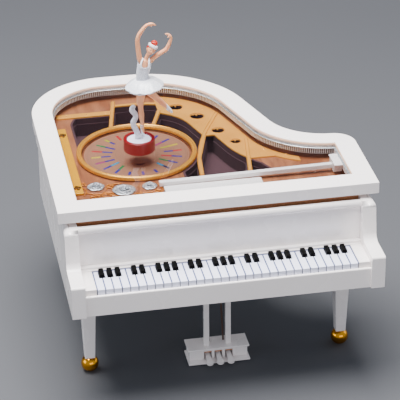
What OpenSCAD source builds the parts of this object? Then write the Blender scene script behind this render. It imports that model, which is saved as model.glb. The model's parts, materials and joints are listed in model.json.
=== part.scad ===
// Ballerina jewellery box shaped as a small grand piano.
// The lid has a clear window; a magnet under it carries the dancer round.

/* [Lid] */
// Width of the lid across the keyboard
lid_w = 175; // [172:1:178]
// Depth of the lid from its front edge to the tail
lid_d = 165; // [163:1:167]
// Height of the lid's top face above the table
lid_top = 110.5; // [108:0.5:114]
// Thickness of the lid frame
lid_t = 6.4; // [6:0.1:7]
// Width of the lid frame round the window
frame_w = 11.7; // [11:0.1:11.9]
// Thickness of the clear window
pane_t = 1.5; // [1.2:0.1:1.8]
// Depth of the window's top face below the lid's top face
pane_drop = 1.3; // [1:0.1:1.6]

/* [Case] */
// Distance that the lid stands out past the case
overhang = 2.5; // [2:0.1:3]
// Thickness of the case wall
wall = 3.5; // [3:0.1:4]
// Height of the case wall
case_h = 42.8; // [42:0.1:43.5]
// Distance from the lid's front edge forward to the front of the cheeks
reach = 26.5; // [25:0.5:28]
// Width of each cheek
cheek_w = 7.5; // [7:0.1:8]

/* [Keyboard] */
// Number of white keys
white_count = 32; // [32:7:39]
// Height of the white keys' top faces above the case bottom
key_top = 14.7; // [14:0.1:15.5]

/* [Movement] */
// Gear module of the turntable drive
gear_m = 0.8; // [0.8]
// Teeth on the spring barrel's gear
barrel_teeth = 36; // [36]
// Teeth on the turntable's gear
table_teeth = 24; // [24]
// Teeth on the music comb
comb_teeth = 18; // [12:1:18]

/* [Dancer] */
// Radius of the red base
base_r = 8.8; // [8:0.1:9]
// Distance of the base from the turntable's axis
orbit_r = 10.8; // [9:0.2:11]

/* [Hidden] */
$fn = 48;
gap = 0.3;
case_top = lid_top - lid_t - 0.7;
case_z = case_top - case_h;
pane_z = lid_top - pane_drop - pane_t;
pane_lip = 0.5;
half_w = lid_w / 2;
case_half = half_w - overhang;
mid_y = (lid_d - reach) / 2;
cheek_top = case_top - 2;
cheek_roll = 3.4;
strip_half = half_w - overhang - 3;

// round stretches of the piano outline: centre and radius
arc_step = 3;
left_r = 46;
left_c = [left_r - half_w, lid_d - left_r];
tail_r = 62;
tail_c = [-24, lid_d - tail_r];
corner_r = 12;
corner_c = [half_w - corner_r, 51.5];
bent_r = 34;
bent_lean = 3.1;
bent_c = corner_c + (corner_r + bent_r) * [sin(bent_lean), cos(bent_lean)];
bend_gap = bent_c - tail_c;
bend_a = atan2(bend_gap[1], bend_gap[0]) + acos((tail_r + bent_r) / norm(bend_gap));
bend_dir = [cos(bend_a), sin(bend_a)];

// turntable, spring barrel and dancer positions in plan
table_c = [-33, 79];
table_pr = gear_m * table_teeth / 2;
barrel_pr = gear_m * barrel_teeth / 2;
barrel_c = [table_c[0] + table_pr + barrel_pr, table_c[1]];
dancer_c = [table_c[0], table_c[1] - orbit_r];

// levels
deck_top = lid_top - 9.8;
deck_t = 3.2;
plate_t = 0.8;
plate_top = deck_top + plate_t;
well_floor = deck_top - 11;
ledge_z = deck_top - 3.4;
tray_t = 1.25;
rib_w = 2.4;
cover_t = 1.8;
bed_z = case_z + 3.8;
bed_t = 2;
bed_top = bed_z + bed_t;
gear_z = case_z + 22.5;
gear_t = 2.6;
cyl_z = gear_z - 8;
cyl_r = 6.5;
cyl_x = barrel_c[0];
governor_c = [cyl_x + 9, 33];
shaft_r = 1.5;
run_gap = 0.05;

// screws of the gold rail
rail_screws = [[-71.8, 42], [-71.8, 108]];

// ring round the turntable
ring_or = 34.2;
ring_ir = 31.4;
ring_h = 2.2;

// legs and feet
foot_r = 5;
leg_top = 9.2;
leg_bottom = 5.7;
leg_x = 71.9;
leg_y = 16.8;
rear_leg = [-31, 137];

// lid hinge and prop
hinge_x = -half_w + 1.9;
hinge_z = lid_top - 3.6;
pin_r = 0.8;
lug_w = 8;
lug_ys = [28, 100];
prop_l = 100;
prop_pivot = [72.5, 36.8, lid_top - 6];
prop_tilt = 0.8;

// pedal lyre
lyre_x = 0.6;
lyre_y = 16;
pedal_xs = [-6, 0, 6];
pedal_z = 4.3;
pedal_slope = 6.5;

// moves from the lid's front edge to the middle of the whole plan
module place() { translate([0, -mid_y, 0]) children(); }

// points along an arc, one for every few degrees
function arc(c, r, from, to) =
    let (n = ceil(abs(to - from) / arc_step), step = (to - from) / n)
    [for (i = [0 : n]) c + r * [cos(from + step * i), sin(from + step * i)]];

// piano outline, drawn in by d all round and by front at the front edge
module plan(d, front) {
    r = bent_r + d;
    right = half_w - d;
    // angles at which the bent side's arc meets the right edge and the front edge
    at_right = 360 - acos((right - bent_c[0]) / r);
    at_front = 180 + asin(min(1, (bent_c[1] - front) / r));
    round_corner = d < corner_r - 0.1;
    square_corner = !round_corner && bent_c[1] + r * sin(at_right) > front;
    polygon(concat(
        [[d - half_w, front]],
        round_corner || square_corner ? [[right, front]] : [],
        round_corner ? arc(corner_c, corner_r - d, 0, 90 - bent_lean) : [],
        arc(bent_c, r, round_corner ? 268 - bent_lean : square_corner ? at_right : at_front,
            180 + bend_a),
        arc(tail_c, tail_r - d, bend_a, 90),
        arc(left_c, left_r - d, 90, 180)));
}

// slab of the piano outline between two heights
module slab(d, front, z0, z1) {
    translate([0, 0, z0]) linear_extrude(z1 - z0) plan(d, front);
}

// box from its lowest corner and its highest corner
module block(low, high) { translate(low) cube(high - low); }

// upright rod from z0 to z1
module rod(p, r, z0, z1) { translate([p[0], p[1], z0]) cylinder(h = z1 - z0, r = r); }

// square bar that tapers from side a at z0 to side b at z1
module taper(p, a, b, z0, z1) {
    translate([p[0], p[1], z0]) rotate([0, 0, 45])
        cylinder(h = z1 - z0, r1 = a / sqrt(2), r2 = b / sqrt(2), $fn = 4);
}

// round-jointed chain through points [x, y, z, radius]
module chain(points) {
    for (i = [0 : len(points) - 2]) hull() {
        for (q = [points[i], points[i + 1]]) translate([q[0], q[1], q[2]]) sphere(q[3], $fn = 14);
    }
}

// ---- case ----

// side shape of a cheek, y across and z up
module cheek_side() {
    shoulder = case_z + 18.8;
    difference() {
        union() {
            polygon([[9, case_z], [-reach, case_z], [-reach, shoulder - 1.2],
                [-reach + 1.2, shoulder - 1.2], [-reach + 1.2, shoulder], [-11.2, shoulder],
                [-6.2, shoulder], [-6.2, shoulder + 5], [-4.2, cheek_top - cheek_roll],
                [cheek_roll - 4.2, cheek_top - cheek_roll], [cheek_roll - 4.2, cheek_top],
                [9, cheek_top]]);
            polygon([[-11.3, shoulder - 0.2], [-6.1, shoulder - 0.2], [-6.1, shoulder + 5]]);
            translate([-reach + 1.2, shoulder - 1.2]) circle(1.2);
            translate([cheek_roll - 4.2, cheek_top - cheek_roll]) circle(cheek_roll);
        }
        translate([-11.2, shoulder + 5]) circle(5);
    }
}

module case_shell() {
    color("white") place() difference() {
        union() {
            difference() {
                slab(overhang, 9, case_z, case_top);
                slab(overhang + wall, 12, case_z - 1, case_top + 1);
            }
            for (s = [-1, 1]) intersection() {
                translate([s < 0 ? -case_half : case_half - cheek_w, 0, 0])
                    rotate([90, 0, 90]) linear_extrude(cheek_w) cheek_side();
                cheek_round(s);
            }
            for (y = lug_ys) translate([0, y, 0]) lug();
            for (p = cover_points()) rod(p, 3, case_z + cover_t, deck_top - deck_t);
        }
        for (y = lug_ys) translate([hinge_x, y - 1, hinge_z]) rotate([-90, 0, 0])
            cylinder(h = lug_w + 2, r = pin_r);
        for (p = cover_points()) rod(p, 0.8, case_z, case_z + 10);
        // slot for the brown strip
        block([-strip_half - gap, 5.2, case_top - 7.4], [strip_half + gap, 9, case_top + 1]);
    }
}

// front view of a cheek with its outer top corner rounded, s = -1 on the left
module cheek_round(s) {
    edge = s * case_half;
    translate([0, 20, 0]) rotate([90, 0, 0]) linear_extrude(60) union() {
        polygon([[edge, case_z], [edge - s * 10, case_z], [edge - s * 10, cheek_top + 1],
            [edge - s * cheek_roll, cheek_top + 1], [edge - s * cheek_roll, cheek_top - cheek_roll],
            [edge, cheek_top - cheek_roll]]);
        translate([edge - s * cheek_roll, cheek_top - cheek_roll]) circle(cheek_roll);
    }
}

// hinge lug that stands up from the left wall into a notch in the lid
module lug() {
    translate([hinge_x, 0, hinge_z]) rotate([-90, 0, 0]) cylinder(h = lug_w, r = 1.7);
    block([hinge_x - 1.5, 0, case_top + 0.2], [hinge_x + 1.5, lug_w, hinge_z]);
    block([hinge_x - 1.5, 0, case_top - 3], [hinge_x + 2.4, lug_w, case_top + 0.2]);
}

function cover_points() = [[-79.8, 22], [79.8, 22], [-79.8, 120], [32.5, 108]];

module bottom_cover() {
    color("white") place() difference() {
        slab(overhang + wall, 12, case_z, case_z + cover_t);
        for (p = cover_points()) rod(p, 1.2, case_z - 1, case_z + cover_t + 1);
        rod(barrel_c, 3, case_z - 1, case_z + cover_t + 1);
        for (i = [-3 : 3]) block([50, 30 + 3 * i, case_z - 1], [66, 31.4 + 3 * i, case_z + 3]);
    }
}

module cover_screws() {
    color("silver") place() for (p = cover_points()) {
        rod(p, 0.75, case_z, case_z + 8);
        difference() {
            rod(p, 2.2, case_z - 1.2, case_z);
            translate([p[0] - 3, p[1] - 0.3, case_z - 1.6]) cube([6, 0.6, 0.8]);
        }
    }
}

module hinge_pins() {
    color("goldenrod") place() for (y = lug_ys)
        translate([hinge_x, y - 2, hinge_z]) rotate([-90, 0, 0]) cylinder(h = lug_w + 4, r = pin_r);
}

module lid_bumpers() {
    color("dimgray") place() for (p = [[-82, 16], [83.2, 16], [83.2, 44], [-40, 160.5]])
        rod(p, 1.4, case_top, case_top + 0.6);
}

// ---- keyboard ----

key_w = (2 * case_half - 2 * cheek_w - 13.2) / white_count;
key_x0 = -key_w * white_count / 2;
slip_back = 1.5;
slip_t = 1.7;
key_front = -reach + slip_back + slip_t;
key_back = -3.5;
key_gap = 0.2;
black_l = 7.4;
black_w = 2.7;
key_z = case_z + key_top;

module key_bed() {
    color("white") place()
        block([-case_half + cheek_w, key_front, case_z], [case_half - cheek_w, 9, case_z + 9]);
}

module key_slip() {
    color("white") place() {
        block([-case_half + cheek_w, -reach + slip_back, case_z],
            [case_half - cheek_w, -reach + slip_back + slip_t, case_z + 11.1]);
        translate([-case_half + cheek_w, -reach + slip_back + slip_t / 2, case_z + 11.1])
            rotate([0, 90, 0]) cylinder(h = 2 * (case_half - cheek_w), r = slip_t / 2);
    }
}

module key_blocks() {
    color("white") place() for (s = [-1, 1]) {
        inner = -key_x0 + 0.3;
        outer = case_half - cheek_w;
        x = s > 0 ? inner : -outer;
        block([x, key_front, case_z + 9], [x + outer - inner, key_back, key_z + 0.4]);
    }
}

// the lowest white key is an F: black keys follow keys 0, 1, 2, 4, 5 of each seven
function black_follows(i) = [1, 1, 1, 0, 1, 1, 0][i % 7] == 1;

// runs once for each black key, at its place on the white keys' top
module each_black() {
    for (i = [0 : white_count - 2]) if (black_follows(i))
        translate([key_x0 + (i + 1) * key_w, key_back, key_z]) children();
}

module white_keys() {
    color("ghostwhite") place() difference() {
        for (i = [0 : white_count - 1])
            block([key_x0 + i * key_w + key_gap, key_front, case_z + 9],
                [key_x0 + (i + 1) * key_w - key_gap, key_back, key_z]);
        each_black() block([-black_w / 2 - gap, -black_l - gap, -3], [black_w / 2 + gap, 1, 1]);
    }
}

module black_keys() {
    color("black") place() each_black()
        block([-black_w / 2, -black_l, -2.6], [black_w / 2, 0, 1.7]);
}

module fallboard() {
    roll_r = 2.1;
    color("white") place() {
        block([-case_half + cheek_w, 0, key_z + 2], [case_half - cheek_w, 2.6, case_top - 5]);
        translate([-case_half + cheek_w, 0.3, case_top - 4.4]) rotate([0, 90, 0])
            cylinder(h = 2 * (case_half - cheek_w), r = roll_r);
    }
}

module fallboard_rail() {
    color("gainsboro") place() {
        block([-case_half + cheek_w, key_back, case_z + 9], [case_half - cheek_w, 2.6, key_z + 0.6]);
        block([-case_half + cheek_w, key_back + 1, key_z + 0.6],
            [case_half - cheek_w, 2.6, key_z + 2]);
    }
}

// brown strip that closes the gap under the lid's front edge
module front_strip() {
    color("peru") place()
        block([-strip_half, 5.4, case_top - 7.2], [strip_half, 8.8, case_top - 0.3]);
}

// ---- legs and lyre ----

module leg(p) {
    taper(p, leg_bottom, leg_top, 2 * foot_r - 0.9, case_z - 1.5);
    block([p[0] - 5.6, p[1] - 5.6, case_z - 1.5], [p[0] + 5.6, p[1] + 5.6, case_z]);
}

module foot(p) {
    translate([p[0], p[1], foot_r - 0.12]) difference() {
        sphere(foot_r);
        translate([0, 0, -2 * foot_r + 0.12 - foot_r]) cylinder(h = 2 * foot_r, r = foot_r);
        translate([0, 0, foot_r - 0.9 + 0.12]) cylinder(h = 3, r = 6);
    }
}

module leg_left() { color("white") place() leg([-leg_x, leg_y]); }
module leg_right() { color("white") place() leg([leg_x, leg_y]); }
module leg_rear() { color("white") place() leg(rear_leg); }
module foot_left() { color("gold") place() foot([-leg_x, leg_y]); }
module foot_right() { color("gold") place() foot([leg_x, leg_y]); }
module foot_rear() { color("gold") place() foot(rear_leg); }

module lyre_posts() {
    color("white") place() for (x = [-6.2, 6.2])
        block([lyre_x + x - 1.5, lyre_y - 1.5, 8.8], [lyre_x + x + 1.5, lyre_y + 1.5, case_z]);
}

// two braces lean back from the pedal box to the case bottom
module lyre_rods() {
    lean = 14;
    rise = case_z - 8.8;
    color("saddlebrown") place() intersection() {
        for (x = [-4.1, 4.1]) translate([lyre_x + x, lyre_y + 3.5, 8.8])
            rotate([-atan(lean / rise), 0, 0])
                translate([0, 0, -3]) cylinder(h = norm([lean, rise]) + 6, r = 0.55);
        block([-10, 0, 8.8], [10, 60, case_z]);
    }
}

module pedal_box() {
    color("white") place() translate([lyre_x, 0, 0]) difference() {
        block([-16.6, lyre_y - 4, 1.6], [16.6, lyre_y + 7.4, 7.8]);
        for (x = pedal_xs) {
            block([x - 2.2, lyre_y - 5, 1.6], [x + 2.2, lyre_y + 6, 6.6]);
            translate([x - 3, lyre_y + 4, pedal_z]) rotate([0, 90, 0])
                cylinder(h = 6, r = 0.8 + run_gap);
        }
    }
}

// plates that stand out above and below the pedal box
module pedal_box_plates() {
    color("white") place() translate([lyre_x, 0, 0]) {
        block([-17.6, lyre_y - 5, 7.8], [17.6, lyre_y + 8, 8.8]);
        block([-17.6, lyre_y - 7.6, 0.5], [17.6, lyre_y + 8, 1.6]);
    }
}

// pedal that slopes down to a round toe, with a cross pin at its back end
module pedal(x) {
    translate([lyre_x + x, lyre_y + 4, pedal_z]) {
        rotate([pedal_slope, 0, 0]) {
            block([-1.3, -14, -0.5], [1.3, 1, 0.5]);
            translate([0, -14, -0.5]) cylinder(h = 1, r = 2);
        }
        translate([-2.9, 0, 0]) rotate([0, 90, 0]) cylinder(h = 5.8, r = 0.8);
    }
}

module pedal_left() { color("white") place() pedal(pedal_xs[0]); }
module pedal_middle() { color("white") place() pedal(pedal_xs[1]); }
module pedal_right() { color("white") place() pedal(pedal_xs[2]); }

// ---- inside the piano ----

// straight rib between two points in plan
module rib(a, b, w) {
    d = b - a;
    translate(a) rotate(atan2(d[1], d[0])) translate([0, -w / 2]) square([norm(d), w]);
}

// plate ribs, w wide
module ribs(w) {
    rib([-43.5, 110], [-36.4, 148], w);
    rib([-19.5, 108], [-11.5, 131], w);
    rib([-2.2, 40], [0.6, 66], w);
    rib([0.6, 66], [8.6, 94], w);
    rib([8.6, 94], [21.6, 122], w);
    rib([25, 40], [31.4, 84], w);
}

// round holes of the plate's tail band: x, y and radius
plate_holes = [[-0.8, 133.8, 3.9], [9.3, 119.3, 4], [17.8, 98.5, 3.6], [24.9, 82.5, 2.9]];
module holes() {
    for (p = plate_holes) translate([p[0], p[1]]) circle(p[2]);
}

// openings of the jewellery wells and of the plate's round holes
module wells() {
    difference() {
        union() {
            intersection() {
                plan(23, 45);
                translate([-64, 90]) square([52, 80]);
            }
            intersection() {
                plan(34, 45);
                translate([-12.01, 90]) square([60, 60]);
            }
            intersection() {
                plan(28, 45);
                polygon([[-10, 45], [38, 45], [30, 62], [30, 95], [-10, 95]]);
            }
        }
        translate(table_c) circle(ring_or + 1.2, $fn = 96);
        translate([-70, 131]) square([30.5, 20]);
        translate([-40, 129]) square([1.5, 20]);
        ribs(rib_w);
    }
    holes();
}

module soundboard() {
    color("sienna") place() difference() {
        slab(overhang + wall, 12, deck_top - deck_t, deck_top);
        translate([0, 0, deck_top - deck_t - 1]) linear_extrude(deck_t + 2)
            offset(delta = tray_t + 0.05) wells();
        rod(table_c, ring_ir, deck_top - 1.2, deck_top + 1);
        rod(table_c, shaft_r + run_gap, deck_top - deck_t - 1, deck_top + 1);
        for (p = rail_screws) rod(p, 0.75, deck_top - 2, deck_top + 1);
    }
}

// flocked trays in the wells, with a small ledge below the rim
module well_tray() {
    color([0.30, 0.18, 0.22]) place() {
        translate([0, 0, well_floor - 1]) linear_extrude(1) offset(delta = tray_t) wells();
        translate([0, 0, well_floor]) linear_extrude(ledge_z - well_floor) difference() {
            offset(delta = tray_t) wells();
            offset(delta = -0.5) wells();
        }
        translate([0, 0, ledge_z]) linear_extrude(deck_top - ledge_z) difference() {
            offset(delta = tray_t) wells();
            wells();
        }
    }
}

// gold plate: tail band with round holes, border, bar, tongue and ribs
module harp_shape() {
    difference() {
        union() {
            difference() {
                intersection() {
                    plan(12.5, 45);
                    translate([-12, 93]) square([60, 80]);
                }
                plan(34, 45);
            }
            difference() {
                intersection() {
                    plan(12.5, 60);
                    translate([0, 60]) square([43, 33.01]);
                }
                plan(28, 45);
            }
            intersection() {
                difference() {
                    plan(12.5, 45);
                    plan(17, 45);
                }
                translate([42, 45]) square([14, 30]);
            }
            difference() {
                intersection() {
                    plan(20.8, 45);
                    translate([-38, 100]) square([27, 60]);
                }
                plan(23, 45);
            }
            translate([-72, 131.6]) square([33, 5]);
            ribs(rib_w);
        }
        translate(table_c) circle(ring_ir + 1);
        holes();
    }
}

module harp_plate() {
    color("goldenrod") place() translate([0, 0, deck_top]) {
        linear_extrude(plate_t) harp_shape();
        linear_extrude(plate_t + 0.5) difference() {
            intersection() {
                ribs(rib_w - 1);
                plan(15, 45);
            }
            translate(table_c) circle(ring_or + 0.3);
        }
    }
}

module ring_bezel() {
    color("gold") place() translate([table_c[0], table_c[1], plate_top])
        rotate_extrude($fn = 120) polygon([[ring_ir + 0.2, 0], [ring_or, 0],
            [ring_or, ring_h - 0.5], [ring_or - 0.6, ring_h], [ring_ir + 0.8, ring_h],
            [ring_ir + 0.2, ring_h - 0.5]]);
}

module bass_rail() {
    color("goldenrod") place() difference() {
        block([-77.5, 36, deck_top], [-69, 117, plate_top + 0.6]);
        for (p = rail_screws) rod(p, 0.75, deck_top - 1, plate_top + 2);
    }
}

module plate_screws() {
    color("peru") place() for (p = rail_screws) {
        rod(p, 0.75, deck_top - 2, plate_top + 0.6);
        difference() {
            rod(p, 1.6, plate_top + 0.6, plate_top + 1.2);
            translate([p[0] - 2, p[1] - 0.25, plate_top + 0.9]) cube([4, 0.5, 1]);
        }
    }
}

// rose of three rising rows of five round petals
module rose(p, r) {
    for (row = [0 : 2]) translate([p[0], p[1], deck_top + row])
        linear_extrude(1.1 - 0.05 * row) rotate(36 * row) union() {
            circle(r * (0.6 - 0.16 * row));
            for (i = [0 : 4]) rotate(72 * i)
                translate([r * (0.6 - 0.2 * row), 0]) circle(r * (0.4 - 0.09 * row));
        }
}

module roses() {
    color("silver") place() {
        rose([-61.5, 43.5], 4.8);
        rose([-46.8, 37], 6.4);
        rose([-32.2, 38.6], 4.2);
    }
}

// curling vines between the roses
module filigree() {
    color("goldenrod") place() translate([0, 0, deck_top]) linear_extrude(0.5) difference() {
        union() {
            for (p = [[-56.5, 33.5, 4.4], [-37.5, 30.2, 4.2], [-28.5, 31, 3.4], [-53, 43.2, 3]])
                difference() {
                    translate([p[0], p[1]]) circle(p[2]);
                    translate([p[0], p[1]]) circle(p[2] - 1.1);
                }
            rib([-66, 37], [-24, 33], 1.2);
            rib([-54, 26], [-34, 25], 1.2);
        }
        translate([-61.5, 43.5]) circle(5.1);
        translate([-46.8, 37]) circle(6.7);
        translate([-32.2, 38.6]) circle(4.5);
        translate([-25.3, 13]) square([56, 24]);
    }
}

module music_desk() {
    color("white") place() {
        block([-25, 14, deck_top], [29.5, 35, deck_top + 1.6]);
        block([-25, 14, deck_top + 1.6], [29.5, 15.6, deck_top + 2.6]);
    }
}

// ---- movement ----

// involute half-angle of a tooth flank at radius r
function flank(r, pr, teeth) =
    let (rb = pr * cos(20), a = acos(min(1, rb / max(r, rb))))
    90 / teeth * 0.9 + (tan(20) - 20 * PI / 180) * 180 / PI - (tan(a) - a * PI / 180) * 180 / PI;

// spur gear outline with involute flanks
module gear_shape(teeth) {
    pr = gear_m * teeth / 2;
    rows = [pr - 1.2 * gear_m, pr - 0.55 * gear_m, pr, pr + 0.45 * gear_m, pr + 0.85 * gear_m];
    polygon([for (i = [0 : teeth - 1], s = [-1, 1], k = [0 : 4])
        let (r = rows[s < 0 ? k : 4 - k], t = 360 / teeth * i + s * flank(r, pr, teeth))
        [r * cos(t), r * sin(t)]]);
}

module bedplate() {
    color("silver") place() {
        difference() {
            block([-46, 28, bed_z], [10, 95, bed_top]);
            rod(barrel_c, 1.7 + run_gap, bed_z - 1, bed_top + 1);
            rod(table_c, 1 + run_gap, bed_z - 1, bed_top + 1);
            rod(governor_c, 0.5 + run_gap, bed_z + 0.8, bed_top + 1);
        }
        for (p = [[-43, 31], [7, 31], [-43, 92], [7, 92]]) rod(p, 2, case_z + cover_t, bed_z);
    }
}

module cylinder_brackets() {
    color("silver") place() for (y = [34, 62]) difference() {
        block([cyl_x - 4, y, bed_top], [cyl_x + 4, y + 1.6, cyl_z + 3]);
        translate([cyl_x, y - 1, cyl_z]) rotate([-90, 0, 0]) cylinder(h = 4, r = 1.2 + run_gap);
    }
}

comb_y0 = 38;
comb_pitch = 1.2;
comb_tip = cyl_x - cyl_r - 0.9;

module comb_base() {
    color("dimgray") place() difference() {
        block([-42, 36.6, bed_top], [-33, 60.6, cyl_z - 0.4]);
        for (y = [42, 55]) rod([-37.5, y], 0.9, cyl_z - 6, cyl_z);
    }
}

module comb() {
    color("lightsteelblue") place() {
        difference() {
            block([-42, 36.6, cyl_z - 0.4], [-32, 60.6, cyl_z + 0.4]);
            for (y = [42, 55]) rod([-37.5, y], 0.9, cyl_z - 1, cyl_z + 1);
        }
        for (i = [0 : comb_teeth - 1])
            block([-32.1, comb_y0 + i * comb_pitch, cyl_z - 0.4],
                [comb_tip, comb_y0 + i * comb_pitch + 0.9, cyl_z + 0.2]);
    }
}

module comb_screws() {
    color("goldenrod") place() for (y = [42, 55]) {
        rod([-37.5, y], 0.9, cyl_z - 6, cyl_z + 0.4);
        rod([-37.5, y], 1.8, cyl_z + 0.4, cyl_z + 1.4);
    }
}

module pin_cylinder() {
    color("gold") place() translate([cyl_x, 0, cyl_z]) rotate([-90, 0, 0]) {
        translate([0, 0, 31.2]) cylinder(h = 36, r = 1.2);
        translate([0, 0, 36.4]) cylinder(h = 24.6, r = cyl_r);
        translate([0, 0, 65.2]) cylinder(h = 2, r = gear_z - cyl_z - 0.3);
        translate([0, 0, 31.4]) cylinder(h = 2, r = 7.4);
        for (i = [0 : comb_teeth - 1], k = [0 : 2]) rotate(i * 137.5 + k * 120)
            translate([cyl_r - 0.3, 0, comb_y0 + 0.45 + i * comb_pitch]) rotate([0, 90, 0])
                cylinder(h = 0.7, r = 0.22, $fn = 16);
    }
}

module governor() {
    color("gold") place() translate([governor_c[0], governor_c[1], 0]) {
        translate([0, 0, bed_top - 1]) cylinder(h = cyl_z - bed_top + 12, r = 0.5);
        translate([0, 0, cyl_z - 2.5]) cylinder(h = 5, r = 1.2);
        translate([-3.2, -0.3, cyl_z + 8]) cube([6.4, 0.6, 3]);
    }
}

module spring_barrel() {
    color("gold") place() translate([barrel_c[0], barrel_c[1], 0]) {
        difference() {
            translate([0, 0, bed_top + 1]) cylinder(h = gear_z - bed_top - 1, r = 11);
            translate([0, 0, bed_top + 2]) cylinder(h = gear_z - bed_top - 3, r = 10);
        }
        translate([0, 0, gear_z]) linear_extrude(gear_t) rotate(180 / barrel_teeth + 180)
            gear_shape(barrel_teeth);
        translate([0, 0, case_z - 9]) cylinder(h = gear_z - case_z + 8, r = 1.7);
    }
}

// flat spring wound from the arbor out to the barrel wall
module mainspring() {
    turns = 4;
    steps = 24;
    color("lightsteelblue") place() translate([barrel_c[0], barrel_c[1], bed_top + 2.6])
        linear_extrude(gear_z - bed_top - 4.4) polygon([for (s = [0, 1], i = [0 : turns * steps])
            let (k = s == 0 ? i : turns * steps - i, r = 2.2 + 7 * k / (turns * steps) + 0.5 * s)
            [r * cos(360 / steps * k), r * sin(360 / steps * k)]]);
}

// butterfly key under the case
module winding_key() {
    color("gold") place() translate([barrel_c[0], barrel_c[1], case_z]) {
        difference() {
            translate([0, 0, -12]) cylinder(h = 10.6, r = 3);
            translate([0, 0, -9]) cylinder(h = 9, r = 1.7);
        }
        translate([0, 1.1, 0]) rotate([90, 0, 0]) linear_extrude(2.2) difference() {
            union() {
                for (s = [-1, 1]) translate([s * 7.4, -15.6]) circle(6);
                translate([-6, -19]) square([12, 7]);
            }
            for (s = [-1, 1]) translate([s * 8, -15.6]) circle(2.6);
        }
    }
}

// disc with a step that carries the coloured dashes
module turntable() {
    color("tan") place() translate([table_c[0], table_c[1], deck_top - 0.9]) difference() {
        cylinder(h = 1.1, r = ring_ir - 1.2, $fn = 96);
        translate([0, 0, -1]) cylinder(h = 4, r = 1.2);
        translate([0, -orbit_r, -1]) cylinder(h = 4, r = 3.1);
    }
}

module turntable_arbor() {
    color("silver") place() translate([table_c[0], table_c[1], 0]) {
        translate([0, 0, bed_z + 0.2]) cylinder(h = bed_top - bed_z, r = 1);
        translate([0, 0, bed_top + 0.2]) cylinder(h = deck_top - 1.1 - bed_top, r = shaft_r);
        translate([0, 0, deck_top - 1]) cylinder(h = 1.2, r = 1.2);
        translate([0, 0, gear_z]) linear_extrude(gear_t) gear_shape(table_teeth);
    }
}

module drive_magnet() {
    color("dimgray") place() translate([dancer_c[0], dancer_c[1], deck_top - 0.9])
        cylinder(h = 1.1, r = 3.1);
}

// ---- lid ----

module lid_frame() {
    color("white") place() difference() {
        slab(0, 0, lid_top - lid_t, lid_top);
        slab(frame_w, frame_w + 1, lid_top - lid_t - 1, lid_top + 1);
        slab(frame_w - pane_lip, frame_w + 1 - pane_lip, pane_z, pane_z + pane_t);
        // notches that the hinge lugs swing in
        for (y = lug_ys) {
            translate([hinge_x, y - gap, hinge_z]) rotate([-90, 0, 0])
                cylinder(h = lug_w + 2 * gap, r = 2.2);
            block([-half_w - 1, y - gap, lid_top - lid_t - 1],
                [hinge_x + 2.2, y + lug_w + gap, hinge_z + 0.6]);
            translate([hinge_x, y - 2.2, hinge_z]) rotate([-90, 0, 0])
                cylinder(h = lug_w + 4.4, r = pin_r + run_gap);
        }
    }
}

module window_pane() {
    color([0.8, 0.9, 0.95, 0.3]) place()
        slab(frame_w - pane_lip, frame_w + 1 - pane_lip, pane_z, pane_z + pane_t);
}

module window_trim() {
    color("silver") place() difference() {
        slab(frame_w, frame_w + 1, lid_top - lid_t, pane_z);
        slab(frame_w + 0.9, frame_w + 1.9, lid_top - lid_t - 1, pane_z + 1);
    }
}

module prop_bracket() {
    p = prop_pivot;
    color("white") place() difference() {
        union() {
            block([p[0] - 2.4, p[1] - 5, p[2] - 2], [half_w - frame_w - 0.9, p[1] - 2, pane_z]);
            block([p[0] - 2.4, p[1] + 2, p[2] - 2], [half_w - frame_w - 0.9, p[1] + 5, pane_z]);
            block([p[0] - 2.4, p[1] - 7, pane_z - 0.8], [half_w - frame_w - 0.9, p[1] + 7, pane_z]);
        }
        translate([p[0], p[1] - 6, p[2]]) rotate([-90, 0, 0]) cylinder(h = 12, r = 0.9 + run_gap);
    }
}

module lid_prop() {
    color("white") place() translate(prop_pivot) rotate([0, -prop_tilt, 0]) {
        difference() {
            block([-prop_l, -1.5, -1.2], [0.6, 1.5, 1.2]);
            translate([-prop_l - 1, -3, -2]) cube([1.4, 6, 4]);
        }
        translate([0, -4.6, 0]) rotate([-90, 0, 0]) cylinder(h = 9.2, r = 0.9);
    }
}

// ---- dancer ----

base_z = pane_z + pane_t + 0.05;
figure_z = base_z + 6.4;
figure_lean = 1.15;
head_tilt = 30;

module at_dancer(z) { place() translate([dancer_c[0], dancer_c[1], z]) children(); }

// the figure's own frame: on top of the disc, leaning a little to the right
module at_figure() { at_dancer(figure_z) rotate([0, figure_lean, 0]) children(); }

// red cup that the figure's disc lies in
module dancer_base() {
    floor_z = 5.8;
    rim_z = 7.2;
    rim_r = base_r - 1.9;
    color("red") at_dancer(base_z) difference() {
        rotate_extrude() polygon([[0, 0], [base_r - 0.3, 0], [base_r, 0.3], [base_r, rim_z - 0.3],
            [base_r - 0.3, rim_z], [rim_r + 0.3, rim_z], [rim_r, rim_z - 0.3], [rim_r, floor_z],
            [0, floor_z]]);
        translate([0, 0, -1]) cylinder(h = 3, r = 4);
    }
}

module dancer_disc() {
    color("white") at_dancer(base_z + 5.8) cylinder(h = 0.6, r = base_r - 2);
}

module dancer_magnet() { color("dimgray") at_dancer(base_z + 0.1) cylinder(h = 1.9, r = 4); }

// wavy upright ribbon that steadies the figure
module dancer_ribbon() {
    color("lightgray") at_dancer(figure_z) chain([[-0.4, 1.5, 1.3, 1.25], [-1.6, 1.5, 5.2, 1.25],
        [-3.2, 1.5, 9.2, 1.25], [-1.6, 1.5, 13, 1.25], [-3.7, 1.5, 17.1, 1.25],
        [-2.9, 1.5, 19.5, 1.2]]);
}

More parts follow.
